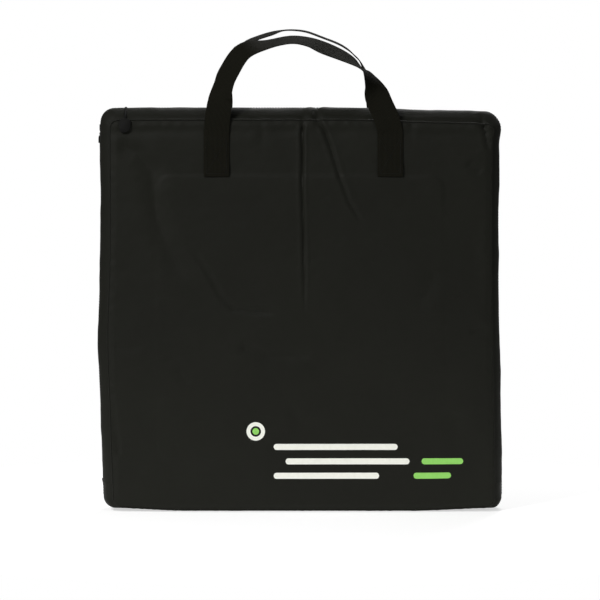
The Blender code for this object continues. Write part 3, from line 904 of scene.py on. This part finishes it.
# Along a dash in pitches, height in thread radii, and how thick the thread is there.
STITCH_SHAPE = (
    (-0.42, -0.5, 0.5),
    (-0.24, 0.6, 1.0),
    (0.0, 0.9, 1.05),
    (0.24, 0.6, 1.0),
    (0.42, -0.5, 0.5),
)


def stitches_along(points, normals):
    """Short lines for the dashes along a row of points, with the surface's outward normals."""
    points, normals = np.asarray(points, float), np.asarray(normals, float)
    gaps = np.linalg.norm(np.diff(points, axis=0), axis=1)
    length = np.concatenate([[0], np.cumsum(gaps)])
    lines = []
    for centre in np.arange(STITCH_PITCH / 2, length[-1], STITCH_PITCH):
        dash = []
        for along, rise, _ in STITCH_SHAPE:
            at = np.clip(centre + along * STITCH_PITCH, 0, length[-1])
            spot = np.array([np.interp(at, length, points[:, k]) for k in range(3)])
            out = np.array([np.interp(at, length, normals[:, k]) for k in range(3)])
            dash.append(spot + out / np.linalg.norm(out) * rise * THREAD_RADIUS)
        lines.append(dash)
    return lines


def sew(name, runs, finish, body, slot):
    lines = [dash for run in runs for dash in stitches_along(*run)]
    made = rods(name, lines, THREAD_RADIUS, sides=5, body_scale=[size for _, _, size in STITCH_SHAPE])
    return dress(made, finish, body, slot)


def zip_stitch_run(facing, depth, inset):
    path, _ = arch(crest_x, gusset_low + 4 * MM, crest_z, crest_radius, 3 * MM)
    points = settle(on_arch(path, depth * MM, inset * MM, facing))
    lean = facing * -0.5
    normals = np.stack([path[:, 2], np.full(len(path), lean), path[:, 3]], axis=1)
    return points, normals


for half, facing, body in HALVES:
    runs = [zip_stitch_run(facing, 9.2, 3.2), zip_stitch_run(facing, 12.8, 0.55)]
    sew(half + "_zip_stitching", runs, thread, body, "nylon_cloth")

# %% [markdown]
# ## The handles
#
# Each handle is one length of webbing. Both ends are turned under and sewn flat to the wall, and
# the free part stands up and twists so that its flat side lies in the hand. The line of each loop
# is a row of given points, each with the angle that the strap has turned from facing front.

# %% Make the handles
# x and height in mm and turn in degrees, going up the left leg and down the right one.
FRONT_LOOP = (
    (-126, 575, 0), (-124, 597, 0), (-121, 617, 10), (-120, 627, 26), (-115, 645, 38), (-108, 663, 37),
    (-86, 695, 43), (-51, 705.5, 66), (-15, 713, 69), (12, 710, 66), (34, 701.6, 59), (59, 691.4, 62),
    (78, 681.6, 70), (93, 669.5, 84), (101, 663, 74), (107, 653, 60), (111, 644, 43), (114, 635, 23),
    (117, 626, 6), (121, 616, 0), (130, 596, 0), (136, 575, 0),
)
BACK_LOOP = (
    (-126, 575, 0), (-125, 597, 0), (-122, 618, 12), (-118, 650, 45), (-107, 686, 72), (-85, 711, 79),
    (-63, 720.5, 78), (-42, 727, 79), (-27, 731, 85), (-11, 731.8, 85), (10, 729.2, 84),
    (35, 720.2, 84), (58, 711.2, 84), (73, 702.4, 85), (84, 692.6, 88), (92, 684, 87), (100, 668, 80),
    (108, 650, 62), (116, 630, 36), (122, 612, 10), (131, 594, 0), (136, 575, 0),
)
# A strap's end, turned under and back up in front: lift in strap thicknesses, height in mm.
TURNED_END = (
    (0.55, 16), (0.55, 4), (0.75, 1.2), (1.15, 0), (1.55, 1.2), (1.72, 4),
    (1.72, 16), (1.1, 22), (0.75, 32), (0.75, 44), (1.0, 56),
)


def smooth_rows(rows, count):
    """Rows of numbers joined by a smooth curve through them and read at even steps."""
    return smooth_section(np.array(rows, float) / MM, count)


def webbing_strip(name, centre, across, out):
    """A flat strap with slightly rounded edges through rows of centres."""
    half, thick = webbing_width / 2, webbing_thickness / 2
    outline = []
    for share in np.linspace(-1, 1, 13):
        edge = 1 - 0.45 * abs(share) ** 8
        outline.append((share * half, thick * edge))
    outline += [(a, -t) for a, t in reversed(outline)]
    outline = np.array(outline)
    sideways = across[:, None, :] * outline[None, :, 0:1]
    ring = centre[:, None, :] + sideways + out[:, None, :] * outline[None, :, 1:2]
    gaps = np.linalg.norm(np.diff(centre, axis=0), axis=1)
    length = np.concatenate([[0], np.cumsum(gaps)])
    rows, cols = ring.shape[:2]
    faces = [tuple(f) for f in grid_faces(rows, cols, 0, wrap_cols=True)]
    faces.append(tuple(range(cols)))
    faces.append(tuple(range((rows - 1) * cols, rows * cols)))
    uv = np.stack(np.broadcast_arrays(outline[None, :, 0], length[:, None]), axis=-1)
    return finish_mesh(name, ring.reshape(-1, 3), faces, uv.reshape(-1, 2), sharp=55)


def strap_rows(loop, facing, face):
    """Centres, side directions and outward directions of a whole handle, end to end."""
    left, right = anchor_x["left"], anchor_x["right"]
    foot = anchor_foot
    off = webbing_thickness
    rows = [[(x, lift * off, foot + up * MM) for lift, up in TURNED_END] for x in (left, right)]
    free = smooth_rows(np.array(loop, float) * (MM, MM, 1.0), 90)
    centre, across, out = [], [], []

    def sewn(leg, sign):
        for x, lift, z in leg:
            y = face(np.array([x]), np.array([z]), 0.0)[0] + facing * lift
            centre.append((x, y, z))
            across.append((sign, 0.0, 0.0))

    sewn(rows[0], 1.0)
    tangent = np.gradient(free[:, [0, 1]], axis=0)
    tangent /= np.linalg.norm(tangent, axis=1)[:, None]
    base_y = facing * abs(fold[1])
    for index, (x, z, turn) in enumerate(free):
        angle = math.radians(turn)
        tx, tz = tangent[index]
        inward = np.array([tz, 0.0, -tx])
        toward = np.array([0.0, -1.0, 0.0])
        share = index / (len(free) - 1)
        lean = 2.5 * MM * math.sin(share * math.pi)
        near_leg = min(share, 1 - share)
        y = base_y - facing * lean
        if near_leg < 0.05:
            on_wall = min(z, panel_top - 2 * MM)
            wall = face(np.array([x]), np.array([on_wall]), 0.0)[0] + facing * 1.3 * off
            y = wall + (base_y - wall) * ease(near_leg, 0.0, 0.05)
        centre.append((x, y, z))
        across.append(inward * math.cos(angle) + toward * math.sin(angle))
    sewn(list(reversed(rows[1])), -1.0)
    centre, across = np.array(centre), np.array(across)
    count = 260
    places = np.linspace(0, len(centre) - 1, count)
    keys = np.arange(len(centre))
    centre = np.stack([np.interp(places, keys, centre[:, k]) for k in range(3)], axis=1)
    across = np.stack([np.interp(places, keys, across[:, k]) for k in range(3)], axis=1)
    tangent = np.gradient(centre, axis=0)
    tangent /= np.maximum(np.linalg.norm(tangent, axis=1)[:, None], 1e-9)
    across -= tangent * (across * tangent).sum(axis=1)[:, None]
    across /= np.linalg.norm(across, axis=1)[:, None]
    out = np.cross(tangent, across)
    return centre, across, out


def make_handle(half, facing, face, loop):
    centre, across, out = strap_rows(loop, facing, face)
    made = webbing_strip(f"{half}_handle_webbing", centre, across, out)
    names = (f"{half}_anchor_left", f"{half}_anchor_right", f"handle_{half}")
    dress(made, webbing, None, "webbing", *names)
    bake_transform(made)
    return made


make_handle("front", -1, front_face, FRONT_LOOP)
make_handle("back", 1, back_face, BACK_LOOP)

# %% [markdown]
# ## Box stitches on the handle ends
#
# A handle end is held by a rectangle of stitches with a cross inside it.


# %% Sew the handle ends
def box_stitch_runs(x, facing, face):
    half = webbing_width / 2 - 3.5 * MM
    low, high = anchor_foot + 4 * MM, fold[2] - 6 * MM
    corners = [(x - half, low), (x + half, low), (x + half, high), (x - half, high)]
    legs = [(corners[i], corners[(i + 1) % 4]) for i in range(4)]
    legs += [(corners[0], corners[2]), (corners[1], corners[3])]
    count = 12
    thick_at = [0, 16 * MM, 24 * MM, 60 * MM]
    runs = []
    for (x0, z0), (x1, z1) in legs:
        share = np.linspace(0, 1, count)
        xs, zs = x0 + (x1 - x0) * share, z0 + (z1 - z0) * share
        rise = np.interp(zs - anchor_foot, thick_at, [2.2, 2.2, 1.5, 1.3]) * webbing_thickness
        mid = face(np.full(xs.shape, x), zs, 0.0)
        ys = mid + facing * rise
        normals = np.tile((0.0, float(facing), 0.0), (count, 1))
        runs.append((np.stack([xs, ys, zs], axis=1), normals))
    return runs


for (half, facing, body), face in zip(HALVES, (front_face, back_face)):
    runs = [run for x in anchor_x.values() for run in box_stitch_runs(x, facing, face)]
    sew(half + "_handle_stitching", runs, thread, body, "webbing")

# %% [markdown]
# ## Sliders and pulls
#
# A slider is two plates joined by a wedge, with a bridge on top that holds the pull. They are cast,
# so every edge is rounded. A plate is a flat outline given a thickness and a bevel.


# %% Metal helpers
def plate(outline, low, high, place):
    """A prism between two heights over an outline, put in the world by a function."""
    made = bmesh.new()
    rings = [[made.verts.new(place(a, b, level)) for a, b in outline] for level in (low, high)]
    made.faces.new(rings[0])
    made.faces.new(rings[1])
    for index in range(len(outline)):
        after = (index + 1) % len(outline)
        made.faces.new((rings[0][index], rings[0][after], rings[1][after], rings[1][index]))
    bmesh.ops.recalc_face_normals(made, faces=made.faces)
    return made


def metal_piece(name, parts, bevel, segments=3):
    """Joins plates into one object and rounds their edges."""
    whole = bpy.data.meshes.new(name)
    joined = bmesh.new()
    for part in parts:
        piece = bpy.data.meshes.new("part")
        part.to_mesh(piece)
        part.free()
        joined.from_mesh(piece)
        bpy.data.meshes.remove(piece)
    edges = [e for e in joined.edges if e.is_manifold and e.calc_face_angle(0) > math.radians(30)]
    bmesh.ops.bevel(joined, geom=edges, offset=bevel, segments=segments, affect="EDGES", profile=0.5)
    joined.to_mesh(whole)
    joined.free()
    whole.shade_smooth()
    whole.set_sharp_from_angle(angle=math.radians(50))
    made = bpy.data.objects.new(name, whole)
    bpy.context.scene.collection.objects.link(made)
    return made


def rounded_outline(points, radius, steps=4):
    """An outline whose corners are turned into short arcs."""
    result = []
    count = len(points)
    for index in range(count):
        before, here, after = (Vector(points[(index + k) % count]) for k in (-1, 0, 1))
        first = here + (before - here).normalized() * min(radius, (before - here).length / 2)
        last = here + (after - here).normalized() * min(radius, (after - here).length / 2)
        for step in range(steps + 1):
            t = step / steps
            result.append(tuple(first * (1 - t) ** 2 + here * 2 * t * (1 - t) + last * t**2))
    return result


# %% Make the sliders
def slider_places():
    """For each slider, a function from (along the zip, across it, height over the crest)."""
    top_low, top_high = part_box("slider_top")
    side_low, side_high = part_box("slider_side")
    top_x = (top_low.x + top_high.x) / 2
    side_z = (side_low.z + side_high.z) / 2
    return {
        "top": lambda a, b, up: Vector((top_x + a, b, crest_z + up)),
        "side": lambda a, b, up: Vector((-crest_x - up, b, side_z + a)),
    }


PLACES = slider_places()
SLIDER_BODY = {"top": "top_slider", "side": "side_slider"}


def make_slider(run):
    place = PLACES[run]
    wide = [(-8.0, -3.6), (2.5, -6.3), (8.0, -6.3), (8.0, 6.3), (2.5, 6.3), (-8.0, 3.6)]
    wide = [(a * MM, b * MM) for a, b in rounded_outline(wide, 2.2)]
    parts = [plate(wide, -6.8 * MM, -5.2 * MM, place), plate(wide, -14.2 * MM, -12.6 * MM, place)]
    post = [(-6 * MM, -0.5 * MM), (-1 * MM, -0.5 * MM), (-1 * MM, 0.5 * MM), (-6 * MM, 0.5 * MM)]
    parts.append(plate(post, -12.8 * MM, -6.6 * MM, place))
    hoop = [(-6.0, -5.4), (-6.0, -1.6), (-4.4, 0.0), (4.4, 0.0), (6.0, -1.6), (6.0, -5.4)]
    hoop += [(4.3, -5.4), (4.3, -2.4), (3.4, -1.6), (-3.4, -1.6), (-4.3, -2.4), (-4.3, -5.4)]
    hoop = [(a * MM, b * MM) for a, b in hoop]
    parts.append(plate(hoop, -1.4 * MM, 1.4 * MM, lambda a, up, across: place(a, across, up)))
    made = metal_piece(f"{run}_slider", parts, 0.35 * MM)
    return dress(made, enamel, SLIDER_BODY[run], "painted_metal", "slider_" + run, "bridge_" + run)


for run in ("top", "side"):
    make_slider(run)


# %% Make the pulls
def ring_mesh(centre, axis_u, axis_v, radius, thick, steps=28, sides=10):
    """A round wire ring as a bmesh, in the plane of two directions."""
    made = bmesh.new()
    axis_w = axis_u.cross(axis_v)
    rows = []
    for step in range(steps):
        angle = math.tau * step / steps
        out = axis_u * math.cos(angle) + axis_v * math.sin(angle)
        row = []
        for side in range(sides):
            turn = math.tau * side / sides
            spot = centre + out * (radius + thick * math.cos(turn)) + axis_w * thick * math.sin(turn)
            row.append(made.verts.new(spot))
        rows.append(row)
    for step in range(steps):
        for side in range(sides):
            near, far = rows[step], rows[(step + 1) % steps]
            after = (side + 1) % sides
            made.faces.new((near[side], far[side], far[after], near[after]))
    bmesh.ops.recalc_face_normals(made, faces=made.faces)
    return made


def draped_strap(line, half_width, thick, place, sideways, count=40):
    """A narrow flat link along a line of points."""
    rows = smooth_rows(line, count)
    made = bmesh.new()
    rings = []
    for index, (a, b) in enumerate(rows):
        ahead, behind = rows[min(index + 1, count - 1)], rows[max(index - 1, 0)]
        centre = place(a, b)
        along = (place(*ahead) - place(*behind)).normalized()
        out = along.cross(sideways).normalized()
        ring = []
        for share, up in ((-1, 0), (-0.8, 1), (0.8, 1), (1, 0), (0.8, -1), (-0.8, -1)):
            ring.append(made.verts.new(centre + sideways * share * half_width + out * up * thick / 2))
        rings.append(ring)
    for near, far in zip(rings, rings[1:]):
        for k in range(6):
            made.faces.new((near[k], near[(k + 1) % 6], far[(k + 1) % 6], far[k]))
    made.faces.new(rings[0])
    made.faces.new(rings[-1])
    bmesh.ops.recalc_face_normals(made, faces=made.faces)
    return made


def make_top_pull():
    """A ring in the bridge, a rubber link over the top edge and a D shaped tab on the front."""
    low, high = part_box("pull_top")
    x = (low.x + high.x) / 2
    centre = Vector((x, 0, crest_z - 0.8 * MM))
    ring = ring_mesh(centre, Vector((0, 1, 0)), Vector((0, 0, 1)), 2.7 * MM, 0.65 * MM)
    # y and height over the crest, in mm, from the zip over the gusset to the top of the wall.
    line = ((-2.9, 0.2), (-9.0, 1.9), (-16.0, 1.7), (-26.5, -5.0), (-36.0, -13.0), (-40.6, -18.5))
    line = [(a * MM, b * MM) for a, b in line]

    def hang(a, b):
        return Vector((x, a, crest_z + b))

    link = draped_strap(line, 1.8 * MM, 1.5 * MM, hang, Vector((1, 0, 0)))
    ring_piece = metal_piece("top_pull_ring", [ring], 0.12 * MM, 1)
    dress(ring_piece, enamel, "top_pull", "painted_metal", "pull_top")
    shape = [(-7.5, -15.5), (3.5, -14.6), (8.6, -17.5), (9.4, -25.0)]
    shape += [(6.4, -34.0), (-1.0, -36.6), (-7.5, -35.5), (-9.2, -26.0)]
    outline = [(a * MM, b * MM) for a, b in rounded_outline(shape, 5.0, 5)]

    def lean(a, b, level):
        return Vector((x + a, -40.2 * MM + 0.06 * (b + 15 * MM) - level, crest_z + b))

    tab = metal_piece("top_pull_tab", [link, plate(outline, -1.0 * MM, 1.0 * MM, lean)], 0.7 * MM, 3)
    dress(tab, moulded_rubber, "top_pull", "painted_metal")


def make_side_pull():
    """An eye round the bridge, a link turned edge-on to it and a fat rounded tab."""
    place = PLACES["side"]
    along, across, up = Vector((0, 0, 1)), Vector((0, 1, 0)), Vector((-1, 0, 0))
    eye = ring_mesh(place(-3.4 * MM, 0, -3.4 * MM), across, along, 4.8 * MM, 0.7 * MM)
    link = ring_mesh(place(-9.4 * MM, 0, -2.8 * MM), up, along, 2.4 * MM, 0.7 * MM)
    shape = [(-11.3, -2.2), (-13.8, -4.0), (-20.5, -4.2), (-23.5, -2.6)]
    shape += [(a, -b) for a, b in reversed(shape)]
    outline = [(a * MM, b * MM) for a, b in rounded_outline(shape, 1.8, 3)]

    def leaning(a, b, level):
        return place(a, b, level + 2.5 * MM * float(ease(-a, 10 * MM, 14 * MM)))

    tab = plate(outline, -3.0 * MM, -1.0 * MM, leaning)
    made = metal_piece("side_pull_tab", [eye, link, tab], 0.45 * MM, 2)
    return dress(made, enamel, "side_pull", "painted_metal", "pull_side")


make_top_pull()
make_side_pull()

# %% [markdown]
# ## The zip's lower ends
#
# A crimped metal stop ties the two coils together, and a folded cloth tab is sewn over it.


# %% Make the stops and end tabs
def make_zip_end(side, sign):
    low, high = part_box("zip_stop_" + side)
    corners = [(low.z, low.y), (high.z, low.y), (high.z, high.y), (low.z, high.y)]
    outline = rounded_outline(corners, 1.2 * MM)
    inner, outer = sorted((abs(low.x), abs(high.x)))
    stop = plate(outline, inner, outer, lambda z, y, x: Vector(settle((sign * x, y, z))))
    made = metal_piece(f"zip_stop_metal_{side}", [stop], 0.4 * MM)
    dress(made, enamel, "back_tray", "painted_metal", "zip_stop_" + side)

    low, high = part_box("zip_end_tab_" + side)
    x = sign * (max(abs(low.x), abs(high.x)) - 0.8 * MM)
    u, v = np.meshgrid(np.linspace(low.y, high.y, 15), np.linspace(low.z, high.z, 19), indexing="ij")
    bow = 0.9 * MM * (1 - (u / high.y) ** 2)
    outer_grid = np.stack([x - sign * (0.9 * MM - bow), u, v], axis=-1)
    inner_grid = outer_grid - np.array([sign * 1.3 * MM, 0, 0])
    tab = shell(f"zip_end_cloth_{side}", settle(outer_grid), settle(inner_grid), np.stack([u, v], axis=-1))
    dress(tab, binding_cloth, "back_tray", "nylon_cloth", "zip_end_tab_" + side)
    edge = 2.2 * MM
    near, far, base, top = low.y + edge, high.y - edge, low.z + edge, high.z - edge
    corners = [(near, base), (far, base), (far, top), (near, top)]
    count = 8
    runs = []
    for index in range(4):
        (y0, z0), (y1, z1) = corners[index], corners[(index + 1) % 4]
        share = np.linspace(0, 1, count)
        ys, zs = y0 + (y1 - y0) * share, z0 + (z1 - z0) * share
        xs = x - sign * 0.9 * MM * (ys / high.y) ** 2
        normals = np.tile((float(sign), 0.0, 0.0), (count, 1))
        runs.append((settle(np.stack([xs, ys, zs], axis=1)), normals))
    sew(f"zip_end_stitching_{side}", runs, thread, "back_tray", "nylon_cloth")


make_zip_end("left", -1)
make_zip_end("right", 1)

# %% [markdown]
# ## Inside the bag
#
# The lining is a thin polyester sheet, slack between its seams, and a ribbed binding tape covers
# the raw edges where it meets the gusset. They show when the cover is down.


# %% Make the linings and bindings
def make_lining(half, facing, body, seed):
    u, v = np.meshgrid(np.linspace(-1, 1, 90), np.linspace(-1, 1, 90), indexing="ij")
    x, z = bent_to_outline(u * 0.996, v * 0.996, PANEL_CORNER)
    slack = 0.45 * MM * waves(x, z, 0.11, seed) + 0.20 * MM * waves(x, z, 0.04, seed + 1)
    slack = np.abs(slack) * ease(1 - np.maximum(np.abs(u), np.abs(v)), 0, 0.1)
    outer = np.stack([x, facing * (lining_inner_y - slack), z], axis=-1)
    inner = np.stack([x, np.full(x.shape, facing * lining_y), z], axis=-1)
    made = shell(half + "_lining_cloth", settle(outer), settle(inner), np.stack([x, z], axis=-1))
    dress(made, lining_cloth, body, "lining_cloth", half + "_lining")


def make_binding(half, facing, body, seed):
    low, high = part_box(half + "_seam_binding")
    face = max(abs(low.y), abs(high.y))
    path, length = arch(high.x, low.z, high.z, 14 * MM, 3 * MM)
    width = 10 * MM
    across = np.linspace(0, 1, 9)
    bow = 0.5 * MM * np.sin(across * math.pi)
    ripple = 0.12 * MM * waves(length[:, None], across[None, :] * width, 0.02, seed)
    sheets = []
    swell = np.sin(across * math.pi)
    for depth in (face, face - 0.8 * MM - bow[None, :] - ripple * swell):
        x = path[:, 0:1] - path[:, 2:3] * across[None, :] * width
        z = path[:, 1:2] - path[:, 3:4] * across[None, :] * width
        sheets.append(settle(np.stack([x, np.broadcast_to(facing * depth, x.shape), z], axis=-1)))
    uv = np.stack(np.broadcast_arrays(across[None, :] * width, length[:, None]), axis=-1)
    made = shell(half + "_binding_tape", sheets[1], sheets[0], uv)
    dress(made, binding_cloth, body, "lining_cloth", half + "_seam_binding")


for (half, facing, body), seed in zip(HALVES, (301, 331)):
    make_lining(half, facing, body, seed)
    make_binding(half, facing, body, seed + 5)

# %% [markdown]
# ## The printed mark
#
# The front carries a screen print. A plain mark stands in for the maker's own: a ring with a dot
# and a few stripes, with no lettering. Ink is a film, so each shape is a sheet a fraction
# of a millimetre thick that lies on the relief of the wall.


# %% Print the mark
def ink(name, point_at, rows, cols, finish, wrap_rows=False):
    """A film of ink; point_at gives x and z for unit coordinates."""
    ends = np.linspace(0, 1, rows, endpoint=not wrap_rows)
    u, v = np.meshgrid(ends, np.linspace(0, 1, cols), indexing="ij")
    x, z = point_at(u, v)
    outer = settle(np.stack([x, front_face(x, z, 0.28 * MM), z], axis=-1))
    inner = settle(np.stack([x, front_face(x, z, -0.15 * MM), z], axis=-1))
    made = shell(name, outer, inner, np.stack([x, z], axis=-1), wrap_rows=wrap_rows)
    return dress(made, finish, "front_cover", "nylon_cloth")


def bar(left, right, low, high):
    """Unit coordinates to a bar with round ends."""
    radius, mid = (high - low) / 2, (high + low) / 2

    def point_at(u, v):
        x = left + (right - left) * u
        near = np.minimum(x - left, right - x)
        half = np.sqrt(np.maximum(radius**2 - np.maximum(radius - near, 0) ** 2, 0)) + 0.1 * MM
        return x, mid + half * (2 * v - 1)

    return point_at


def disc(cx, cz, inner, outer):
    """Unit coordinates to a ring, or to a dot when its inner radius is nearly nothing."""

    def point_at(u, v):
        angle = u * math.tau
        radius = inner + (outer - inner) * v
        return cx + radius * np.cos(angle), cz + radius * np.sin(angle)

    return point_at


MARK_CENTRE = (-0.067, 0.122)
STRIPE_TALL = 0.009
STRIPE_PITCH = 0.022
ink("mark_ring", disc(*MARK_CENTRE, 8 * MM, 14 * MM), 72, 5, ink_white, wrap_rows=True)
ink("mark_dot", disc(*MARK_CENTRE, 0.3 * MM, 5 * MM), 40, 4, ink_green, wrap_rows=True)
for index, (left, right) in enumerate(((-0.040, 0.148), (-0.022, 0.166), (-0.040, 0.120))):
    low = 0.094 - index * STRIPE_PITCH
    shape = bar(left, right, low, low + STRIPE_TALL)
    ink(f"mark_white_stripe_{index + 1}", shape, 150, 6, ink_white)
for index, (left, right) in enumerate(((0.184, 0.246), (0.172, 0.228))):
    low = 0.072 - index * STRIPE_PITCH
    shape = bar(left, right, low, low + STRIPE_TALL)
    ink(f"mark_green_stripe_{index + 1}", shape, 70, 6, ink_green)

# %% [markdown]
# ## Camera, floor and light
#
# A long lens a little above the middle keeps the front square. The floor and the sky are white. One
# large soft lamp rakes the cloth from the upper left so that its folds show, a weak one fills from
# the right and a third stands high behind the bag.


# %% Camera
def look(where, target, lens):
    data = bpy.data.cameras.new("camera")
    data.lens = lens
    camera = bpy.data.objects.new("camera", data)
    camera.location = where
    camera.rotation_mode = "QUATERNION"
    camera.rotation_quaternion = (Vector(target) - Vector(where)).to_track_quat("-Z", "Y")
    bpy.context.scene.collection.objects.link(camera)
    return camera


VIEW_WIDTH = 1.487 * 2 * crest_x
DISTANCE = 4.2
RISE = math.radians(2.5)
target = Vector((0.0, -wall_y, 0.321))
place = target + DISTANCE * Vector((0, -math.cos(RISE), math.sin(RISE)))
bpy.context.scene.camera = look(place, target, 36 * DISTANCE / VIEW_WIDTH)
print("camera", [round(v, 3) for v in place])


# %% Floor and lights
def area_light(name, where, target, size, power):
    data = bpy.data.lights.new(name, "AREA")
    data.shape, data.size, data.energy = "DISK", size, power
    lamp = bpy.data.objects.new(name, data)
    lamp.location = where
    lamp.rotation_mode = "QUATERNION"
    lamp.rotation_quaternion = (Vector(target) - Vector(where)).to_track_quat("-Z", "Y")
    bpy.context.scene.collection.objects.link(lamp)


def white_floor(radius):
    """A round sheet of back-lit white acrylic, the floor of a small-product studio."""
    turns = np.linspace(0, math.tau, 96, endpoint=False)
    rim = [(radius * math.cos(a), radius * math.sin(a), 0) for a in turns]
    mesh = bpy.data.meshes.new("floor")
    mesh.from_pydata(rim, [], [tuple(range(len(rim)))])
    acrylic, _, shader = start_finish("backlit_white_acrylic", 0.9, Specular_IOR_Level=0.1)
    shader.inputs["Base Color"].default_value = swatch("#E6E6E6")
    shader.inputs["Emission Color"].default_value = (1, 1, 1, 1)
    shader.inputs["Emission Strength"].default_value = 0.58
    mesh.materials.append(acrylic)
    made = bpy.data.objects.new("floor", mesh)
    made.location.z = -0.0006
    bpy.context.scene.collection.objects.link(made)
    return made


white_floor(0.8)


def studio_world(seen, felt):
    """A sky that looks white but lights the bag with less, so that the lamps shape the folds."""
    world = bpy.data.worlds.new("studio")
    world.use_nodes = True
    tree = world.node_tree
    path = tree.nodes.new("ShaderNodeLightPath")
    strength = tree.nodes.new("ShaderNodeMapRange")
    strength.inputs["To Min"].default_value = felt
    strength.inputs["To Max"].default_value = seen
    tree.links.new(path.outputs["Is Camera Ray"], strength.inputs["Value"])
    tree.links.new(strength.outputs["Result"], tree.nodes["Background"].inputs["Strength"])
    tree.nodes["Background"].inputs["Color"].default_value = (1, 1, 1, 1)
    return world


bpy.context.scene.world = studio_world(seen=1.0, felt=0.16)
bpy.context.scene.view_settings.view_transform = "Standard"
area_light("key", (-2.1, -2.7, 2.4), (0, 0, 0.3), 1.2, 104)
area_light("fill", (2.4, -2.8, 1.2), (0, 0, 0.3), 1.6, 12)
area_light("back", (0.5, 2.2, 2.9), (0, 0, 0.3), 1.4, 55)
